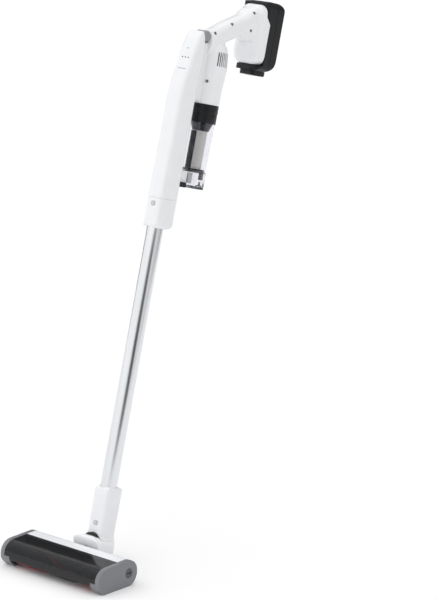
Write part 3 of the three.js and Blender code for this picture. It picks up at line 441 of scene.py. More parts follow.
# A finish's name, with the record's slot and the material that it stands for.
FINISHES = {
    # White ABS from a polished mould: a hard shine over a barely rippled face
    "white": ("white_abs", cached(moulded, "Gloss white ABS", "#F3F4F5", "#EDEFF1", 0.24, 26, 0.12, specular=0.3)),
    # Black ABS from a spark-eroded mould, whose fine grain scatters the shine
    "black": ("black_abs", cached(
        moulded, "Satin black ABS", "#121417", "#0E1013", 0.42, 18, 0.1, 0.45, 0.22, 0.3)),
    # Near-black ABS, smoother than the satin parts
    "bumper": ("black_abs", cached(moulded, "Smooth black ABS", "#101113", "#0B0C0D", 0.3, 22, 0.1, specular=0.35)),
    # Mid-grey ABS with an even satin face
    "grey": ("grey_abs", cached(moulded, "Satin grey ABS", "#7B7D81", "#74767A", 0.36, 30, 0.1, 0.5, 0.12)),
    # Light-grey ABS of the buttons
    "button": ("button_grey", cached(moulded, "Grey button ABS", "#98999B", "#909193", 0.4, 12, 0.1, 0.4, 0.15)),
    # Smoked polycarbonate: darkens what lies behind it and keeps a sharp surface shine
    "smoke": ("smoke", cached(see_through, "Smoked polycarbonate", "#7A7F88", 0.12, 1.33)),
    # Faintly grey polycarbonate of the dust cup
    "clear": ("clear", cached(see_through, "Clear polycarbonate", "#F4F4F7", 0.04, 1.42)),
    # Milky acrylic of the charge lights, unlit
    "lens": ("clear", cached(moulded, "Milky acrylic", "#3C3E41", "#333538", 0.25, 4, 0.05)),
    "aluminium": ("aluminium", cached(brushed_aluminium)),
    # Zinc-plated steel of the screws, pins and motors
    "steel": ("steel", cached(metal, "Plated steel", "#9A9B9C", "#7F8082", 0.34)),
    # Off-white ABS of the two release buttons
    "pale": ("button_grey", cached(moulded, "Off-white button ABS", "#CFD0D2", "#C8C9CB", 0.4, 12, 0.1, 0.4, 0.15)),
    # Darker grey ABS of the coin lock
    "dark grey": ("grey_abs", cached(moulded, "Dark grey ABS", "#505256", "#494B4F", 0.4, 12, 0.1, 0.5, 0.15)),
    # Moulded rubber: dark, dull and slightly dusty
    "rubber": ("rubber", cached(moulded, "Moulded rubber", "#1E1E1F", "#161617", 0.72, 9, 0.2, 0.6, 0.3)),
    # Red nylon bristle
    "red": ("red_bristle", cached(fibrous, "Red nylon bristle", "#C8383E", "#A02C31", 0.5, 0.6)),
    # Black nylon bristle
    "dark bristle": ("black_bristle", cached(fibrous, "Black nylon bristle", "#2A2A2C", "#19191A", 0.5, 0.6)),
    # Needled felt and open foam of the filters and the glide strip
    "felt": ("felt", cached(fibrous, "Grey felt", "#3B3B3E", "#2A2A2C", 0.8, 0.95)),
    # Pleated filter paper, cream and matt
    "paper": ("paper", cached(fibrous, "Pleated filter paper", "#FFFDFA", "#F7F3EC", 0.6, 0.9)),
    # Oil-soaked sintered bronze of the bearings
    "bronze": ("bronze", cached(metal, "Sintered bronze", "#A5713F", "#7E5530", 0.5)),
    # Green solder mask on a circuit board
    "board": ("board", cached(moulded, "Coated circuit board", "#2D6A45", "#255A3A", 0.35, 5, 0.1)),
    # Blue shrink wrap on the battery cells
    "wrap": ("cell_wrap", cached(moulded, "Blue shrink wrap", "#3F6F9C", "#386389", 0.3, 6, 0.15)),
}


# ---------- floor head ----------

def head_outline(inset=0.0):
    front, rear, top = HEAD["front"], HEAD["rear"], HEAD["top"]
    return [(front + inset, top - 2.6 - inset, 24 - inset), (rear - inset, top + 0.3 - inset, 22 - inset),
            (rear - inset, inset, 24 - inset), (front + 12.2 + inset, inset, 6),
            (front + inset, HEAD["chin_top"], 14 - inset)]


def top_cover():
    end, rear = CAP_INNER - GAP, HEAD["window_rear"]
    room = combined(prism(head_outline(SHELL), "X", -end - 1, end + 1), [
        block(-end - 2, end + 2, HEAD["front"], rear, -1, 60),
        block(-NOTCH["half"] - SHELL, NOTCH["half"] + SHELL, NOTCH["front"] - SHELL, 40, -1, 60)])
    return combined(prism(head_outline(), "X", -end, end), [
        room,
        block(-end - 1, end + 1, HEAD["front"] - 1, rear - SHELL, -1, 60),
        block(-end - 1, end + 1, HEAD["front"] - 1, 40, -1, 3.9),
        block(-NOTCH["half"], NOTCH["half"], NOTCH["front"], 40, -1, 60),
        rod("Y", 10.8, rear - 4, NOTCH["front"] + 1, (0, 30), 0),
        block(-end - 1, -105, rear - SHELL - 1, rear + 1, 8, 38)])


def roller_window():
    end, rear = CAP_INNER - GAP, HEAD["window_rear"] - SHELL - GAP
    return combined(prism(head_outline(), "X", -end, end), [
        prism(head_outline(2), "X", -end - 1, end + 1),
        block(-end - 1, end + 1, rear, 40, -1, 60),
        block(-end - 1, end + 1, HEAD["front"] - 1, rear + 1, -1, BUMPER[1] + GAP)])


def front_bumper():
    end, low_end = CAP_INNER - GAP, CHIN_INNER - GAP
    chin_top = HEAD["chin_top"] + 7 + GAP
    return combined(prism(head_outline(0.4), "X", -end, end), [
        prism(head_outline(3), "X", -end - 1, end + 1),
        block(-end - 1, end + 1, HEAD["front"] + 23, 40, -1, 60),
        block(-end - 1, end + 1, -80, 40, BUMPER[1], 60), block(-end - 1, end + 1, -80, 40, -1, BUMPER[0]),
        block(low_end, end + 1, -80, 40, -1, chin_top), block(-end - 1, -low_end, -80, 40, -1, chin_top)])


def end_cap(side):
    """One end cap, with the chin that turns in under the front corner."""
    chin = combined(prism(head_outline(), "X", CHIN_INNER, CAP_OUTER), [
        block(100, 124, -80, 40, HEAD["chin_top"] + 7, 60),
        block(100, 124, HEAD["front"] + 22, 40, -1, 60),
        prism(head_outline(3), "X", CHIN_INNER - 1, CAP_INNER)])
    whole = combined(prism(head_outline(), "X", CAP_INNER, CAP_OUTER), [chin], "UNION")
    tools = [rod("X", 7.8, CAP_INNER - 1, CAP_INNER + 4.8, (ROLLER["y"], ROLLER["z"]), 0)]
    if side > 0:
        tools.append(rod("X", LOCK["radius"] + GAP, CAP_INNER - 1, CAP_OUTER + 1, (LOCK["y"], LOCK["z"]), 0))
    made = combined(whole, tools)
    if side < 0:
        bmesh.ops.mirror(made, geom=made.verts[:] + made.edges[:] + made.faces[:], axis="X", merge_dist=0)
        bmesh.ops.bisect_plane(made, geom=made.verts[:] + made.edges[:] + made.faces[:], plane_co=(0, 0, 0),
                               plane_no=(1, 0, 0), clear_outer=True)
    bmesh.ops.recalc_face_normals(made, faces=made.faces[:])
    return made


def coin_lock():
    y, z = LOCK["y"], LOCK["z"]
    dial = turned([(0, CAP_INNER + GAP), (LOCK["radius"], CAP_INNER + GAP), (LOCK["radius"], CAP_OUTER + 0.4, 0.6),
                   (0, CAP_OUTER + 0.4)], "X", (y, z), 72)
    dish = turned([(0, CAP_OUTER - 0.6), (LOCK["radius"] - 1.6, CAP_OUTER + 0.2), (LOCK["radius"] - 1.6, 130),
                   (0, 130)], "X", (y, z), 72)
    return combined(dial, [dish, prism([(y - 5.6, z - 1, 0.9), (y + 5.6, z - 1, 0.9), (y + 5.6, z + 1, 0.9),
                                        (y - 5.6, z + 1, 0.9)], "X", CAP_OUTER - 3, CAP_OUTER + 2)])


def roller_body():
    y, z = ROLLER["y"], ROLLER["z"]
    half, core = ROLLER["half"], ROLLER["core"]
    return turned([(0, -half - 15.5), (3.5, -half - 15.5), (3.5, -half), (core, -half, 1), (core, half, 1),
                   (3.5, half), (3.5, half + 15.5), (0, half + 15.5)], "X", (y, z), 96)


def bristle_rows(start, wide, tufts=88):
    """A winding band of tufts, each a bundle that splays a little towards its tip."""
    bm = bmesh.new()
    half = ROLLER["half"] - 4
    length = ROLLER["tips"] - ROLLER["core"] + 0.2
    for i in range(tufts):
        for row in range(-wide, wide + 1):
            share = (i + 0.25 * (row % 2)) / tufts
            along = -half + 2 * half * share
            angle = start + share * 0.6 * TURN + row * 0.13
            tuft = bmesh.ops.create_cone(bm, cap_ends=True, segments=6, radius1=0.95, radius2=1.25, depth=length)
            middle = ROLLER["core"] - 0.2 + length / 2
            bmesh.ops.translate(bm, verts=tuft["verts"], vec=(0, 0, middle))
            turn = Matrix.Rotation(angle - math.pi / 2, 3, "X")
            bmesh.ops.rotate(bm, verts=tuft["verts"], cent=(0, 0, 0), matrix=turn)
            bmesh.ops.translate(bm, verts=tuft["verts"], vec=(along, ROLLER["y"], ROLLER["z"]))
    return bm


def ribbed_hose():
    bore, root, rib = HOSE["bore"], HOSE["root"], HOSE["rib"]
    corners = [(bore, HOSE["front"]), (root, HOSE["front"])]
    for i in range(8):
        at = 16.2 + 2 * i
        corners += [(8.5, at, 0.3), (rib, at + 0.4, 0.4), (rib, at + 1.1, 0.4), (8.5, at + 1.5, 0.3)]
    corners += [(root, HOSE["rear"]), (bore, HOSE["rear"])]
    return turned(corners, "Y", (0, HOSE["z"]), 48)


def rear_wheel(side):
    inner, outer = 38.1, 45.1
    tyre = turned([(2.3, inner, 0.3), (7.4, inner, 0.4), (7.8, inner + 0.8, 0.3), (11, inner, 1.6),
                   (11, outer, 1.6), (7.8, outer - 0.8, 0.3), (7.4, outer, 0.4), (2.3, outer, 0.3)],
                  "X", (46, 11), 64)
    bmesh.ops.scale(tyre, verts=tyre.verts[:], vec=(side, 1, 1))
    bmesh.ops.recalc_face_normals(tyre, faces=tyre.faces[:])
    return tyre


# ---------- neck ----------

def neck_yoke():
    """The white saddle that tilts on the head and carries the swivel."""
    half, up, barrel = TILT["half"], SWIVEL["up"], TILT["barrel"]
    cradle = SWIVEL["core"] + SWIVEL["ring"] + 0.6
    side_view = [(-barrel, -barrel, 11), (barrel, -barrel, 11), (8, up + 12.5, 9), (-39, up + 12.5, 6),
                 (-30, 12, 5), (-13, 2, 4)]
    face = [(-half, -barrel - 1, 2), (half, -barrel - 1, 2), (half, up + 4, 7), (12, up + 12.5, 18),
            (-12, up + 12.5, 18), (-half, up + 4, 7)]
    front = SWIVEL["front"]
    level = rod("Y", HOSE["root"] + 2, -17, 17, (0, 0), 0)
    bmesh.ops.rotate(level, verts=level.verts[:], cent=(0, 0, 0),
                     matrix=Matrix.Rotation(math.radians(TILT["lean"]), 3, "X"))
    bmesh.ops.translate(level, verts=level.verts[:], vec=(0, -30, 6))
    solid = combined(prism(side_view, "X", -half, half), [prism(face, "Y", -50, 30)], "INTERSECT")
    return combined(solid, [
        rod("Y", cradle, front, 40, (0, up), 0, 96),
        block(-cradle, cradle, front, 40, up, 60), block(-half - 1, half + 1, front, 40, 30, 60),
        rod("Y", SWIVEL["core"] + GAP, front - 5, front + 1, (0, up), 0, 96), level,
        rod("X", 3.7, half - 5.3, half + 1, (0, 0), 0), rod("X", 3.7, -half - 1, -half + 5.3, (0, 0), 0)])


def swivel_duct():
    core, up, front, rear = SWIVEL["core"], SWIVEL["up"], SWIVEL["front"], SWIVEL["rear"]
    drum = turned([(0, front - 4.7), (core, front - 4.7, 0.8), (core, rear, 0.8), (core - 2.4, rear, 0.5),
                   (core - 5, rear - 2.4, 0.5), (0, rear - 2.4)], "Y", (0, up), 96)
    return combined(drum, [turned([(0, front - 2.4), (core - 2.4, front - 2.4), (core - 2.4, rear - 3.4),
                                   (0, rear - 3.4)], "Y", (0, up), 72)])


def sleeve_outline(rear):
    half, front, corner = SLEEVE["half"], SLEEVE["front"], SLEEVE["corner"]
    return [(-half, front, corner), (half, front, corner), (half, rear, corner), (-half, rear, corner)]


def crescent(z, grow=0.0):
    """A release button's rounded outline, grown by a clearance for its pocket."""
    return [(-4.5 - grow, z - 3.5 - grow, 3), (4.5 + grow, z - 3.5 - grow, 3),
            (4.5 + grow, z + 3.5 + grow, 3), (-4.5 - grow, z + 3.5 + grow, 3)]


def neck_socket():
    core, ring, up, rear = SWIVEL["core"], SWIVEL["ring"], SWIVEL["up"], SWIVEL["rear"]
    front, back = SLEEVE["front"], SLEEVE["rear"]
    side_view = [(14, up - 30), (rear - 0.6, up + 14), (back, up + 24, 8),
                 (back, SOCKET_TOP, 8), (front, SOCKET_TOP, 8), (front, up - 30)]
    half = SLEEVE["half"]
    face = [(-half - 1, up - 30), (half + 1, up - 30), (half, up + 20), (half, SOCKET_TOP, 9), (-half, SOCKET_TOP, 9),
            (-half, up + 20)]
    body = combined(prism(sleeve_outline(back), "Z", up, SOCKET_TOP),
                    [prism(side_view, "X", -25, 25)], "INTERSECT")
    body = combined(body, [prism(face, "Y", -30, 30)], "INTERSECT")
    body = combined(body, [rod("Y", core + ring, front, rear - 0.4, (0, up), 0, 96)], "UNION")
    return combined(body, [
        rod("Y", core + 0.4, front - 1, back + 1, (0, up), 0, 96),
        rod("Z", TUBE["radius"] + GAP, 64.5, SOCKET_TOP + 1, (0, 0), 0, 96),
        rod("Z", 12, up, 65.5, (0, 0), 0, 64),
        prism(crescent(59.5, 0.6), "Y", front - 2, front + 3.5)])


def release_button(z):
    """A button with a round dish that leaves a crescent along one side."""
    front = SLEEVE["front"]
    return combined(prism(crescent(z), "Y", front - 0.7, front + 2), [
        rod("Y", 3.6, front - 3, front - 0.1, (-2.2, z), 0, 40)])


# ---------- tube and collar ----------

def tube_collar():
    front, rear = SLEEVE["front"], SPINE["rear"]
    foot, top = COLLAR
    side_view = [(front, foot, 9), (rear, foot, 20), (rear, top), (front, top)]
    half = SLEEVE["half"]
    face = [(-half, foot, 8), (half, foot, 8), (half, top), (-half, top)]
    body = combined(prism(sleeve_outline(rear), "Z", foot, top), [prism(side_view, "X", -30, 30)], "INTERSECT")
    body = combined(body, [prism(face, "Y", -30, 40)], "INTERSECT")
    body = combined(body, [rod("Z", 14.4, top - 1, top + 20, (0, 0), 0.8, 72)], "UNION")
    return combined(body, [
        rod("Z", TUBE["radius"] + GAP, foot - 1, TUBE["head"] + GAP, (0, 0), 0, 96),
        rod("Z", 12.4, foot, top + 21, (0, 0), 0, 64),
        prism(crescent(637, 0.6), "Y", front - 2, front + 3.5)])


# ---------- spine ----------

def spine_stations(inset=0.0):
    front, rear, top = SLEEVE["front"], SPINE["rear"], SPINE["top"]
    bend, slant = SPINE["bend"], SPINE["slant_top"]
    rows = [(SPINE["foot"], front, rear, 0), (SPINE["foot"] + 110, front + 2.6, rear, 0),
            (bend - 18, front + 2.8, rear, 0), (bend + 8, front + 5.4, rear, 0),
            (bend + 40, front + 12.4, rear, 0), (bend + 62, slant - 9.2, rear, 0), (top - 22, slant - 4.6, rear, 0),
            (top - 12, slant - 0.6, rear - 1.6, 0.4), (top - 5, slant + 3.4, rear - 5.6, 1.4),
            (top - 1.5, slant + 6.6, rear - 9, 3), (top, slant + 8.2, rear - 11, 5.2)]
    stations = []
    for z, low, high, narrow in rows:
        low, high = low + inset, high - inset
        half = (SLEEVE["half"] - narrow - inset, (high - low) / 2)
        corner = min(SLEEVE["corner"] - inset, half[1] * 0.95)
        stations.append((min(z, top - inset * 1.2), (0, (low + high) / 2), half, corner))
    return stations


def thumb_pocket(half):
    y, free, z = THUMB["y"], THUMB["radius"] + GAP, THUMB["z"] - THUMB["travel"]
    return combined(rod("X", free, -half, half, (y, z), 0, 72),
                    [block(-half, half, y - free, y + free, z, SPINE["top"] + 20)], "UNION")


def spine_cover():
    outer = lofted("Z", spine_stations(), steps=8)
    y, z, width, height = (CUP_BUTTON[k] for k in ("y", "z", "width", "height"))
    inner = [(SPINE["foot"] + 26, (0, 5), (15, 15), 5)] + spine_stations(SHELL)[1:-1]
    lights = [rod("Y", 1.4, -30, 10, (x, 901), 0, 24) for x in (-7, 0, 7)]
    return combined(outer, [
        lofted("Z", inner, steps=8), rod("Z", 14.7, SPINE["foot"] - 1, SPINE["foot"] + 27, (0, 0), 0, 72),
        thumb_pocket(THUMB["half"] + GAP),
        prism([(y - width / 2 - GAP, z - height / 2 - GAP, 5), (y + width / 2 + GAP, z - height / 2 - GAP, 5),
               (y + width / 2 + GAP, z + height / 2 + GAP, 5), (y - width / 2 - GAP, z + height / 2 + GAP, 5)],
              "X", -22, -16)] + lights)


def cup_button():
    y, z, width, height = (CUP_BUTTON[k] for k in ("y", "z", "width", "height"))
    face = [(y - width / 2, z - height / 2, 4.7), (y + width / 2, z - height / 2, 4.7),
            (y + width / 2, z + height / 2, 4.7), (y - width / 2, z + height / 2, 4.7)]
    grooves = [block(-21, -19.6, y - 4, y + 4, z + k - 0.6, z + k + 0.6) for k in (-5, 0, 5)]
    return combined(prism(face, "X", -SLEEVE["half"] - 1, -SLEEVE["half"] + 2), grooves)


def charge_lights():
    """Three lens tips behind the slanted panel."""
    front = SLEEVE["front"] + 5.4 + (901 - SPINE["bend"] - 8) * 7 / 32
    return gathered([rod("Y", 1.1, front - 0.2, front + 6, (x, 901), 0.2, 24) for x in (-7, 0, 7)])


def printed_marks():
    """A short power mark above the lights and a plain line below them, standing barely proud."""
    marks = []
    for z, half in ((917.6, 3.4), (880.5, 9.5)):
        slope = 7 / 32 if z < SPINE["bend"] + 40 else 9 / 43.5
        y = SLEEVE["front"] + (5.4 + (z - SPINE["bend"] - 8) * slope if slope == 7 / 32
                               else 12.4 + (z - SPINE["bend"] - 40) * slope)
        mark = block(-half, half, -0.12, 0.5, -0.5, 0.5)
        bmesh.ops.rotate(mark, verts=mark.verts[:], cent=(0, 0, 0), matrix=Matrix.Rotation(-math.atan(slope), 3, "X"))
        bmesh.ops.translate(mark, verts=mark.verts[:], vec=(0, y, z))
        marks.append(mark)
    return gathered(marks)


def thumb_button():
    half, radius = THUMB["half"], THUMB["radius"]
    return turned([(0, -half), (radius, -half, 3.6), (radius, half, 3.6), (0, half)], "X",
                  (THUMB["y"], THUMB["z"]), 96)


# ---------- handset body ----------

GRIP_ROWS = ((43.5, 912, 955, 14), (47, 910, 958.5, 15.5), (60, 916, 964.5, 17), (74, 928, 972.5, 17.5),
             (86, 939.5, 979.5, 17.5), (98, 945, 985.5, 17.5), (110, 950.5, 991, 17.5),
             (120, 953.8, 995.6, 17.8), (128, 956, 1001, 18.6), (136, 955, 1008.5, 20), (147, 950, 1015, 22))
DOCK_ROWS = ((0, 12, 14, 13), (1, 8.5, 9.5, 9.5), (3.5, 5, 6, 6), (8, 2, 2.4, 2.6), (14, 0.5, 0.6, 0.7),
             (20, 0, 0, 0), (29, 0, 0, 0))
SCREWS = ((50, 866.5, 15.3), (89, 975, 16.3), (136.7, 971, 19.6), (139.5, 1003, 18.6))
FRONT_SCREW = (50.5, 952.5, 14.2)


def handset_skin(inset=0.0):
    """The motor housing, the grip and the battery dock, overlapping."""
    last = len(GRIP_ROWS) - 1
    grip = []
    for i, (y, low, high, half) in enumerate(GRIP_ROWS):
        shift = inset if i == 0 else inset * 3 if i == last else 0
        grip.append((y + shift, (0, (low + high) / 2), (half - inset, (high - low) / 2 - inset),
                     min(14, half - 0.6) - inset))
    dock = []
    for step, down, up, narrow in DOCK_ROWS:
        low, high = DOCK["foot"] + down + inset, DOCK["top"] - up - inset
        y = min(DOCK["front"] + step + inset, DOCK["rear"] - inset)
        dock.append((y, (0, (low + high) / 2), (DOCK["half"] - narrow - inset, (high - low) / 2), 16 - inset))
    t, radius, belly, top = BARREL["t"], BARREL["radius"] - inset, BARREL["belly"] - inset, BARREL["top"]
    foot, belly_at = BARREL["foot"] - inset * 2, BARREL["belly_at"]
    housing = turned([(0, foot), (radius, foot), (radius, foot + 20 + inset * 2, 60), (belly, belly_at, 60),
                      (radius, top - 24, 20), (radius - 4, top - 12, 12), (radius - 13, top - 3 - inset, 6),
                      (0, top - inset)], "Z", (0, t), 96)
    return housing, lofted("Y", grip, steps=6), lofted("Y", dock, steps=6)


def handset_body():
    """Both halves of the housing in one skin, before they are parted."""
    housing, grip, dock = handset_skin()
    web = block(-8, 8, SPINE["rear"] + GAP, BARREL["t"] - 20, BARREL["foot"] + 4, GRIP_ROWS[0][2] - 22)
    skin = melted(combined(housing, [grip, dock, web], "UNION"), 0.9, 4)
    rear, top = DOCK["rear"], DOCK["top"]
    mating = prism([(rear - 15, top + 3), (rear - 12, top - 21.5, 5), (rear, top - 35.5, 5), (rear + 1, top - 36.5),
                    (rear + 1, top + 3)], "X", -40, 40)
    slots = []
    middle = (VENTS["low"] + VENTS["high"]) / 2
    for k in range(VENTS["count"]):
        slot = block(-VENTS["width"] / 2, VENTS["width"] / 2, BARREL["belly"] - 6, BARREL["belly"] + 6,
                     VENTS["low"], VENTS["high"])
        angle = math.radians(VENTS["pitch"] * (k - (VENTS["count"] - 1) / 2))
        bmesh.ops.rotate(slot, verts=slot.verts[:], cent=(0, 0, middle), matrix=Matrix.Rotation(angle, 3, "Z"))
        bmesh.ops.translate(slot, verts=slot.verts[:], vec=(0, BARREL["t"], 0))
        slots.append(slot)
    inner = handset_skin(SHELL)
    inner_skin = combined(inner[0], [inner[1], inner[2]], "UNION")
    recesses = [rod("X", 2.9, x - 3.3, x + 12, (y, z), 0, 32) for y, z, x in SCREWS + (FRONT_SCREW,)]
    return combined(skin, [
        inner_skin, mating, gathered(slots), gathered(recesses), thumb_pocket(34),
        block(-20.9, 20.9, 162.7, rear + 1, 929.7, 986.3),
        block(-40, 40, 20, SPINE["rear"] + GAP, 800, 1000), block(-60, 60, 20, 200, 780, BARREL["foot"])])


def handset_shells():
    """The two halves, a hair apart at the parting line."""
    whole = handset_body()
    copy = whole.copy()
    right = combined(whole, [block(0.15, 60, 0, 240, 780, 1060)], "INTERSECT")
    left = combined(copy, [block(-60, -0.15, 0, 240, 780, 1060)], "INTERSECT")
    return left, right


def body_screw(y, z, x):
    """A pan head with a cross recess."""
    head = turned([(0, x - 3), (2.6, x - 3, 0.2), (2.6, x - 1.1, 0.5), (0, x - 0.5)], "X", (y, z), 48)
    cross = [block(x - 1.6, x + 1, y - 1.5, y + 1.5, z - 0.3, z + 0.3),
             block(x - 1.6, x + 1, y - 0.3, y + 0.3, z - 1.5, z + 1.5)]
    return combined(head, cross)


# ---------- dust cup ----------

def rear_chamfer():
    t, radius, foot = BARREL["t"], CUP["flange_radius"], CUP["foot"]
    return prism([(t + radius + 4, foot + 13), (t + radius - 9.5, foot - 9),
                  (t + radius + 4, foot - 9)], "X", -30, 30)


def dust_cup():
    t, wall = BARREL["t"], CUP["wall"]
    step, foot, flange = CUP["step"], CUP["foot"], CUP["flange"]
    radius, low, wide = CUP["radius"], CUP["foot_radius"], CUP["flange_radius"]
    shell = turned([
        (wide - wall, foot), (wide, foot, 0.5), (wide, flange, 0.6), (low, flange + 2, 0.8),
        (radius, step - 0.3), (radius - wall, step - 0.3), (low - wall, flange + 2, 0.6),
        (wide - wall, flange - wall, 0.5)], "Z", (0, t), 128)
    return combined(shell, [block(-8.3, 8.3, 20, 64, 682.7, 701.3), rear_chamfer()])


def cup_collar():
    """The dark band moulded round the cup's mouth."""
    outer = CUP["radius"] + 0.8
    return turned([(outer - CUP["wall"], CUP["step"]), (outer, CUP["step"], 0.4), (outer, CUP["ring"], 0.4),
                   (outer - CUP["wall"], CUP["ring"])], "Z", (0, BARREL["t"]), 128)


def cup_ring():
    foot, radius, low = BARREL["foot"], BARREL["radius"], CUP["ring"] + GAP
    return turned([(11, low), (radius, low, 0.5), (radius, foot - 8, 0.2),
                   (radius - 0.5, foot - 7.6), (radius - 0.5, foot - 7), (radius, foot - 6.6, 0.2),
                   (radius, foot - GAP, 0.4), (18, foot - GAP), (18, foot - 4), (11, foot - 4)],
                  "Z", (0, BARREL["t"]), 128)


def filter_head():
    t, top = BARREL["t"], FILTER["top"]
    return turned([(10.5, top + GAP), (15, top + GAP, 0.8), (FILTER["head"], top + 14, 2),
                   (FILTER["head"], CUP["ring"] - 0.2, 0.4), (10.5, CUP["ring"] - 0.2)], "Z", (0, t), 96)


def pleated_core():
    """Filter paper folded into 36 pleats."""
    t, pleats = BARREL["t"], 36
    bm = bmesh.new()
    ring = bmesh.ops.create_circle(bm, cap_ends=False, segments=2 * pleats, radius=1)["verts"]
    for i, vert in enumerate(ring):
        radius = FILTER["radius"] if i % 2 else FILTER["radius"] - 0.7
        angle = TURN * i / (2 * pleats)
        vert.co = (radius * math.cos(angle), t + radius * math.sin(angle), FILTER["foot"])
    face = bmesh.ops.contextual_create(bm, geom=bm.edges[:])["faces"]
    made = bmesh.ops.extrude_face_region(bm, geom=face)
    moved = [g for g in made["geom"] if isinstance(g, bmesh.types.BMVert)]
    bmesh.ops.translate(bm, verts=moved, vec=(0, 0, FILTER["top"] - FILTER["foot"]))
    bmesh.ops.recalc_face_normals(bm, faces=bm.faces[:])
    return bm


def filter_skirt():
    t, foot = BARREL["t"], FILTER["foot"]
    disc = turned([(0, foot - 2.4), (16.5, foot - 2.4), (16.5, foot - 5.6), (FILTER["skirt"], foot - 5.6, 0.6),
                   (FILTER["skirt"], foot - GAP, 0.5), (0, foot - GAP)], "Z", (0, t), 96)
    rib = prism([(-4.5, t - 19, 1.2), (4.5, t - 19, 1.2), (4.5, t - 13.4), (-4.5, t - 13.4)], "Z",
                foot - 2, FILTER["top"] - GAP)
    return combined(disc, [rib], "UNION")


def cup_door():
    t, foot, radius = BARREL["t"], CUP["foot"], CUP["flange_radius"]
    low = foot - CUP["door"] - GAP
    plate = turned([(0, low), (radius, low, 1.2), (radius, foot - GAP, 0.5), (0, foot - GAP)], "Z", (0, t), 128)
    arm = block(-6, 6, 44.6, t - radius + 4, low, foot - GAP)
    knuckle = rod("X", 2.6, -6, 6, (44.6, foot - 2.2), 0.3, 32)
    pin = rod("X", 1.1, -8.5, 8.5, (44.6, foot - 2.2), 0.1, 24)
    return combined(combined(plate, [arm, knuckle, pin], "UNION"), [rear_chamfer()])


# ---------- battery pack ----------

def battery_case():
    front, rear, half, foot, top = DOCK["front"], DOCK["rear"], DOCK["half"], DOCK["foot"], DOCK["top"]
    roof = PACK["top"]
    profile = [(front + 10, PACK["foot"], 4), (PACK["rear"], PACK["foot"], 24), (PACK["rear"], roof, 14),
               (rear, roof), (front + 13.4, roof - 3.2, 2.4), (front + 13.4, top + GAP),
               (rear - 14 + GAP, top + GAP),
               (rear - 12 + GAP, top - 21.5 + GAP, 5), (rear + GAP, top - 35.5 + GAP, 5),
               (rear + GAP, foot - GAP), (front + 10, foot - GAP, 2)]
    face = [(-half, PACK["foot"] - 1, 14), (half, PACK["foot"] - 1, 14), (half, roof + 1, 14), (-half, roof + 1, 14)]
    plan = [(-half, front + 8, 15), (half, front + 8, 15), (half, 240), (-half, 240)]
    foot_plan = [(-half + 1, front + 13, 17), (half - 1, front + 13, 17), (half - 1, 192), (half, 200), (half, 240),
                 (-half, 240), (-half, 200), (-half + 1, 192)]
    slab = combined(prism(profile, "X", -half - 1, half + 1), [prism(face, "Y", 100, PACK["rear"] + 1)], "INTERSECT")
    slab = combined(slab, [prism(plan, "Z", 880, 1050)], "INTERSECT")
    lower = combined(prism(foot_plan, "Z", 880, foot + 1), [block(-40, 40, 140, 240, foot, 1060)], "UNION")
    slab = combined(slab, [lower], "INTERSECT")
    boss = block(-20.6, 20.6, 163, rear + 2, 930, 986)
    tab = PACK["tab_half"] + GAP
    groove = combined(block(-half - 2, half + 2, 190, 190.7, PACK["foot"] - 2, roof + 4), [
        prism([(-half + 0.6, PACK["foot"] + 0.6, 13), (half - 0.6, PACK["foot"] + 0.6, 13),
               (half - 0.6, roof - 0.6, 13), (-half + 0.6, roof - 0.6, 13)], "Y", 180, 200)])
    return combined(combined(slab, [boss], "UNION"), [
        block(-tab, tab, front + 17, PACK["rear"] - 7, PACK["foot"] - 1, PACK["foot"] + 2), groove])


def pack_latch():
    front, rear, foot = DOCK["front"], PACK["rear"], PACK["foot"]
    tab_foot, half = PACK["tab_foot"], PACK["tab_half"]
    side_view = [(front + 18, tab_foot, 3), (rear - 10, tab_foot, 5), (rear - 8, foot + 0.6), (front + 18, foot + 0.6)]
    plan = [(-half, front + 18, 7), (half, front + 18, 7), (half, rear - 8, 4), (-half, rear - 8, 4)]
    tab = combined(prism(side_view, "X", -half, half), [prism(plan, "Z", 880, 910)], "INTERSECT")
    ribs = [block(-half - 1, half + 1, y, y + 1.2, tab_foot - 1, tab_foot + 0.7) for y in (172, 176, 180, 184, 188)]
    return combined(tab, ribs)


# ---------- the operators ----------

class VacuumSizes(bpy.types.PropertyGroup):
    """Sizes that a user would change."""
    edge: FloatProperty(name="Moulded edge", description="Rounding on the edges of moulded pieces",
                        default=0.0006, min=0, max=0.003, unit="LENGTH", subtype="DISTANCE")
    tube_wall: FloatProperty(name="Tube wall", description="Wall of the aluminium tube", default=0.0011,
                             min=0.0005, max=0.003, unit="LENGTH", subtype="DISTANCE")
    floor_size: FloatProperty(name="Floor size", description="Side of the square studio floor", default=14.0,
                              min=2, unit="LENGTH", subtype="DISTANCE")


class VacuumLooks(bpy.types.PropertyGroup):
    """Colours of the stage."""
    floor_colour: FloatVectorProperty(name="Floor", description="Colour of the studio floor", subtype="COLOR",
                                      size=4, min=0, max=1, default=linear("#FDFDFD"))


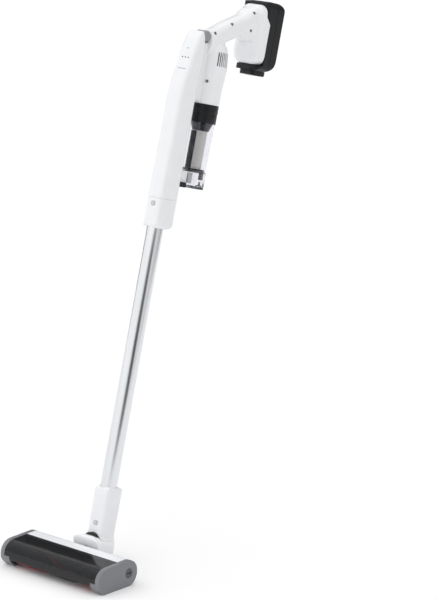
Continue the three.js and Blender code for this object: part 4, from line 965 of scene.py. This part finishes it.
class VACUUM_OT_stage(bpy.types.Operator):
    """Sets the camera, the floor and the soft lights"""
    bl_idname = "vacuum.stage"
    bl_label = "Studio stage"

    def execute(self, context):
        scene = context.scene
        aim = Vector((0.08925, 0.28004, 0.45986))
        azimuth, elevation, distance = math.radians(42.4025), math.radians(14.4555), 5.1812
        back = Vector((math.sin(azimuth) * math.cos(elevation), -math.cos(azimuth) * math.cos(elevation),
                       math.sin(elevation)))
        camera = bpy.data.objects.new("camera", bpy.data.cameras.new("camera"))
        camera.data.lens = 174.38
        camera.data.sensor_width = 36
        camera.data.clip_end = 50
        camera.location = aim + back * distance
        camera.rotation_euler = back.to_track_quat("Z", "Y").to_euler()
        scene.collection.objects.link(camera)
        scene.camera = camera

        floor_mesh = bpy.data.meshes.new("floor")
        bm = bmesh.new()
        half = scene.vacuum_sizes.floor_size / 2
        bmesh.ops.create_grid(bm, x_segments=1, y_segments=1, size=half)
        bmesh.ops.translate(bm, verts=bm.verts[:], vec=(0, half - 0.9, 0))
        bmesh.ops.rotate(bm, verts=bm.verts[:], cent=(0, 0, 0), matrix=Matrix.Rotation(azimuth, 3, "Z"))
        bm.to_mesh(floor_mesh)
        bm.free()
        floor = bpy.data.objects.new("floor", floor_mesh)
        scene.collection.objects.link(floor)
        floor_mesh.materials.append(studio_floor(scene.vacuum_looks.floor_colour[:]))

        scene.world = studio_world()
        scene.view_settings.view_transform = "Standard"
        return {"FINISHED"}


def studio_world():
    """A soft tent: bright overhead and to the left, with dark flags at the back and far right.

    Each stop is a bearing in degrees, anticlockwise from +X seen from above, and a brightness.
    """
    world = bpy.data.worlds.new("studio")
    world.use_nodes = True
    tree = world.node_tree
    tree.nodes.clear()
    coords = add_node(tree, "ShaderNodeTexCoord")
    bearing = add_node(tree, "ShaderNodeTexGradient", {"gradient_type": "RADIAL"}, {"Vector": (coords, "Generated")})
    ring = add_node(tree, "ShaderNodeValToRGB", inputs={"Fac": (bearing, "Fac")})
    stops = ((-180, 0.9), (-150, 1.12), (-74, 1.1), (-60, 0.9), (-46, 0.10), (-22, 0.07), (-8, 0.85), (40, 0.6),
             (76, 0.10), (165, 0.12))
    ramp = ring.color_ramp
    while len(ramp.elements) < len(stops):
        ramp.elements.new(1.0)
    for element, (degrees, level) in zip(ramp.elements, stops):
        element.position = (degrees + 180) / 360
        element.color = (level, level, level * 1.01, 1)
    split = add_node(tree, "ShaderNodeSeparateXYZ", inputs={"Vector": (coords, "Generated")})
    height = add_node(tree, "ShaderNodeMapRange", {"interpolation_type": "SMOOTHSTEP"}, {
        "Value": (split, "Z"), "From Min": 0.38, "From Max": 0.68})
    sky = add_node(tree, "ShaderNodeMix", {"data_type": "RGBA"}, {
        0: (height, "Result"), 6: (ring, "Color"), 7: (1.24, 1.24, 1.25, 1)})
    below = add_node(tree, "ShaderNodeMapRange", inputs={
        "Value": (split, "Z"), "From Min": -0.15, "From Max": -0.2, "To Min": 0, "To Max": 1})
    tent = add_node(tree, "ShaderNodeMix", {"data_type": "RGBA"}, {
        0: (below, "Result"), 6: (sky, 2), 7: (1.0, 1.0, 1.0, 1)})
    light = add_node(tree, "ShaderNodeBackground", inputs={"Color": (tent, 2)})
    add_node(tree, "ShaderNodeOutputWorld", inputs={"Surface": (light, "Background")})
    return world


def studio_floor(colour):
    """Matt painted studio floor."""
    material, tree = blank("Studio floor")
    coords = add_node(tree, "ShaderNodeTexCoord")
    noise = add_node(tree, "ShaderNodeTexNoise", inputs={"Vector": (coords, "Object"), "Scale": 60})
    rough = add_node(tree, "ShaderNodeMapRange", inputs={"Value": (noise, "Fac"), "To Min": 0.75, "To Max": 0.9})
    shader = add_node(tree, "ShaderNodeBsdfPrincipled", inputs={
        "Base Color": colour, "Roughness": (rough, "Result"), "Specular IOR Level": 0.2})
    surfaced(tree, shader)
    return material


class VACUUM_OT_head(bpy.types.Operator):
    """Models the floor head's covers, end caps, lock, wheels and hose"""
    bl_idname = "vacuum.head"
    bl_label = "Floor head"

    def execute(self, context):
        edge = context.scene.vacuum_sizes.edge / MM
        piece("top_cover_fine", top_cover(), "white", "head", ["top_cover"], edge=edge)
        piece("roller_window_fine", roller_window(), "smoke", "head", ["roller_window"], edge=0.3)
        # Painted shade: a black strip just inside the smoked window, giving the dark line along the window's crease.
        piece("window_crease_shade", prism([(-50.5, 41.6, 0.6), (-47.5, 43, 0.6), (-48, 44, 0.6), (-51, 42.6, 0.6)], "X",
                                  -CAP_INNER + 1, CAP_INNER - 1), "bumper", "head")
        # Painted shade: a black sheet inside the head behind the smoked window, standing in for the shaded space round
        # the roller.
        piece("roller_shade_sheet", block(-112, 112, -10.6, -9.2, 6, 42), "bumper", "head")
        piece("front_bumper_fine", front_bumper(), "bumper", "head", ["front_bumper"], edge=0.5)
        piece("end_cap_left_fine", end_cap(-1), "grey", "head", ["end_cap_left"], edge=0.9, segments=3)
        piece("end_cap_right_fine", end_cap(1), "grey", "head", ["end_cap_right"], edge=0.9, segments=3)
        piece("coin_lock", coin_lock(), "dark grey", "lock", ["end_cap_lock"], edge=0.2)
        piece("ribbed_hose", ribbed_hose(), "rubber", "head", ["flex_hose"],
              bend=("neck", (0, 0.0165, 0.030), (0, 0.0305, 0.030)))
        piece("neck_bracket_fine", cad_copy("neck_bracket"), "black", "head", ["neck_bracket"], edge=0.4)
        piece("sole_plate_fine", cad_copy("sole_plate"), "black", "head", ["sole_plate"], edge=0.3)
        for name, side in (("left", -1), ("right", 1)):
            piece("rear_tyre_" + name, rear_wheel(side), "rubber", "wheel_" + name, ["rear_wheel_" + name])
        return {"FINISHED"}


class VACUUM_OT_roller(bpy.types.Operator):
    """Models the brush roller with its four winding rows of bristle"""
    bl_idname = "vacuum.roller"
    bl_label = "Brush roller"

    def execute(self, context):
        piece("roller_body", roller_body(), "bumper", "roller", ["roller_core"])
        rows = (("red", 1), ("dark bristle", 1), ("red", 2), ("dark bristle", 2))
        for k, (finish, number) in enumerate(rows):
            node = ("red" if finish == "red" else "black") + "_bristle_row_%d" % number
            wide = 2 if finish == "red" else 1
            piece("tufts_%d" % (k + 1), bristle_rows(k * math.pi / 2 + 0.5, wide), finish, "roller", [node])
        return {"FINISHED"}


class VACUUM_OT_neck(bpy.types.Operator):
    """Models the tilting yoke, the swivel and the tube socket"""
    bl_idname = "vacuum.neck"
    bl_label = "Neck"

    def execute(self, context):
        edge = context.scene.vacuum_sizes.edge / MM
        piece("neck_yoke_fine", melted(neck_yoke(), 0.7, 9), "white", "neck", ["neck_yoke"], True, angle=50)
        piece("swivel_drum", swivel_duct(), "bumper", "neck", ["swivel_duct"], True)
        piece("neck_socket_fine", neck_socket(), "white", "socket", ["neck_socket"], True, edge=edge)
        piece("head_release", release_button(59.5), "pale", "head_button", ["head_release_button"], True, edge=0.25)
        return {"FINISHED"}


class VACUUM_OT_wand(bpy.types.Operator):
    """Models the aluminium tube and the collar at its top"""
    bl_idname = "vacuum.wand"
    bl_label = "Tube and collar"

    def execute(self, context):
        sizes = context.scene.vacuum_sizes
        tube = pipe("Z", TUBE["radius"], sizes.tube_wall / MM, TUBE["foot"], TUBE["head"])
        piece("aluminium_tube", tube, "aluminium", "wand", ["extension_tube"], True)
        piece("tube_collar_fine", tube_collar(), "white", "wand", ["tube_collar"], True, edge=sizes.edge / MM)
        piece("tube_release", release_button(637), "pale", "tube_button", ["tube_release_button"], True, edge=0.25)
        return {"FINISHED"}


class VACUUM_OT_handset(bpy.types.Operator):
    """Models the spine, the motor housing, the grip and their small parts"""
    bl_idname = "vacuum.handset"
    bl_label = "Handset"

    def execute(self, context):
        edge = context.scene.vacuum_sizes.edge / MM
        piece("spine_cover_fine", spine_cover(), "white", "handset", ["spine_cover"], True, edge=edge)
        piece("charge_lights", charge_lights(), "lens", "handset", ["light_pipe"], True)
        piece("printed_marks", printed_marks(), "button", "handset", leaning=True)
        piece("cup_button_fine", cup_button(), "black", "cup_button", ["cup_release_button"], True, edge=0.3)
        piece("thumb_pad", thumb_button(), "button", "thumb", ["thumb_button"], True)
        # Painted shade: a thin black sleeve inside the housing behind the vent slots, so that the slots look dark.
        piece("vent_shade_sleeve", pipe("Z", 24.4, 0.6, VENTS["low"] - 3, VENTS["high"] - 3, (0, BARREL["t"])), "bumper",
              "handset", leaning=True)
        left, right = handset_shells()
        piece("handset_left", left, "white", "handset", ["handset_shell_left"], True, angle=40)
        piece("handset_right", right, "white", "handset", ["handset_shell_right"], True, angle=40)
        for i, spot in enumerate(SCREWS):
            piece("pan_screw_%d" % (i + 1), body_screw(*spot), "steel", "handset", ["body_screw_%d" % (i + 1)], True)
        piece("pan_screw_front", body_screw(*FRONT_SCREW), "steel", "handset", leaning=True)
        return {"FINISHED"}


class VACUUM_OT_cup(bpy.types.Operator):
    """Models the dust cup with its filter, door and inlet"""
    bl_idname = "vacuum.cup"
    bl_label = "Dust cup"

    def execute(self, context):
        piece("dust_cup_fine", dust_cup(), "clear", "cup", ["dust_cup"], True)
        piece("cup_collar", cup_collar(), "black", "cup", leaning=True)
        piece("cup_ring_fine", cup_ring(), "black", "cup", ["cup_ring"], True)
        piece("filter_head_fine", filter_head(), "smoke", "cup", ["filter_head"], True)
        piece("pleated_core", pleated_core(), "paper", "cup", ["filter_core"], True)
        piece("filter_skirt_fine", filter_skirt(), "black", "cup", ["filter_skirt"], True, edge=0.3)
        piece("inlet_port_fine", cad_copy("inlet_port"), "white", "cup", ["inlet_port"], edge=0.5)
        piece("hinge_lug_fine", cad_copy("hinge_lug"), "black", "cup", ["hinge_lug"], edge=0.5)
        piece("cup_door_fine", cup_door(), "smoke", "door", ["cup_door"], True, edge=0.3)
        piece("door_latch_fine", cad_copy("door_latch"), "black", "latch", ["door_latch"], edge=0.5)
        return {"FINISHED"}


class VACUUM_OT_battery(bpy.types.Operator):
    """Models the slide-off battery pack"""
    bl_idname = "vacuum.battery"
    bl_label = "Battery pack"

    def execute(self, context):
        piece("battery_case_fine", battery_case(), "black", "battery", ["battery_case"], True, edge=1.0, segments=3)
        piece("pack_latch_fine", pack_latch(), "black", "battery_latch", ["pack_latch"], True, edge=0.6)
        return {"FINISHED"}


# Small or inner CAD parts that keep their own shape and get a finish.
CAD_FINISHES = {
    "glide_strip": "felt", "brush_motor": "steel", "motor_pulley": "steel", "brush_pulley": "steel",
    "drive_belt": "rubber", "suction_duct": "black", "roller_bearing_left": "bronze",
    "roller_bearing_right": "bronze", "tilt_pin_left": "steel", "tilt_pin_right": "steel",
    "control_board": "board", "fan_motor": "steel", "impeller": "black", "exhaust_filter": "felt",
    "pre_filter": "felt", "battery_cells": "wrap",
}


class VACUUM_OT_inner_parts(bpy.types.Operator):
    """Gives the CAD parts that stay as they are their finishes"""
    bl_idname = "vacuum.inner_parts"
    bl_label = "Inner parts"

    def execute(self, context):
        for node, finish in CAD_FINISHES.items():
            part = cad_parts[node]
            for spot in part.material_slots:
                spot.material = FINISHES[finish][1]()
        return {"FINISHED"}


STEPS = (VACUUM_OT_stage, VACUUM_OT_head, VACUUM_OT_roller, VACUUM_OT_neck, VACUUM_OT_wand,
         VACUUM_OT_handset, VACUUM_OT_cup, VACUUM_OT_battery, VACUUM_OT_inner_parts)


class VACUUM_PT_panel(bpy.types.Panel):
    """Sidebar panel with each step of the model"""
    bl_idname = "VACUUM_PT_panel"
    bl_label = "Cordless Stick Vacuum"
    bl_space_type = "VIEW_3D"
    bl_region_type = "UI"
    bl_category = "Vacuum"

    def draw(self, context):
        column = self.layout.column()
        for group in (context.scene.vacuum_sizes, context.scene.vacuum_looks):
            for key in group.__annotations__:
                column.prop(group, key)
        for step in STEPS:
            column.operator(step.bl_idname)


CLASSES = (VacuumSizes, VacuumLooks) + STEPS + (VACUUM_PT_panel,)


def register():
    for kind in CLASSES:
        bpy.utils.register_class(kind)
    bpy.types.Scene.vacuum_sizes = PointerProperty(type=VacuumSizes)
    bpy.types.Scene.vacuum_looks = PointerProperty(type=VacuumLooks)


def unregister():
    del bpy.types.Scene.vacuum_looks
    del bpy.types.Scene.vacuum_sizes
    for kind in reversed(CLASSES):
        bpy.utils.unregister_class(kind)


def main():
    register()
    for step in STEPS:
        name = step.bl_idname.split(".")[1]
        getattr(bpy.ops.vacuum, name)()


if __name__ == "__main__":
    main()
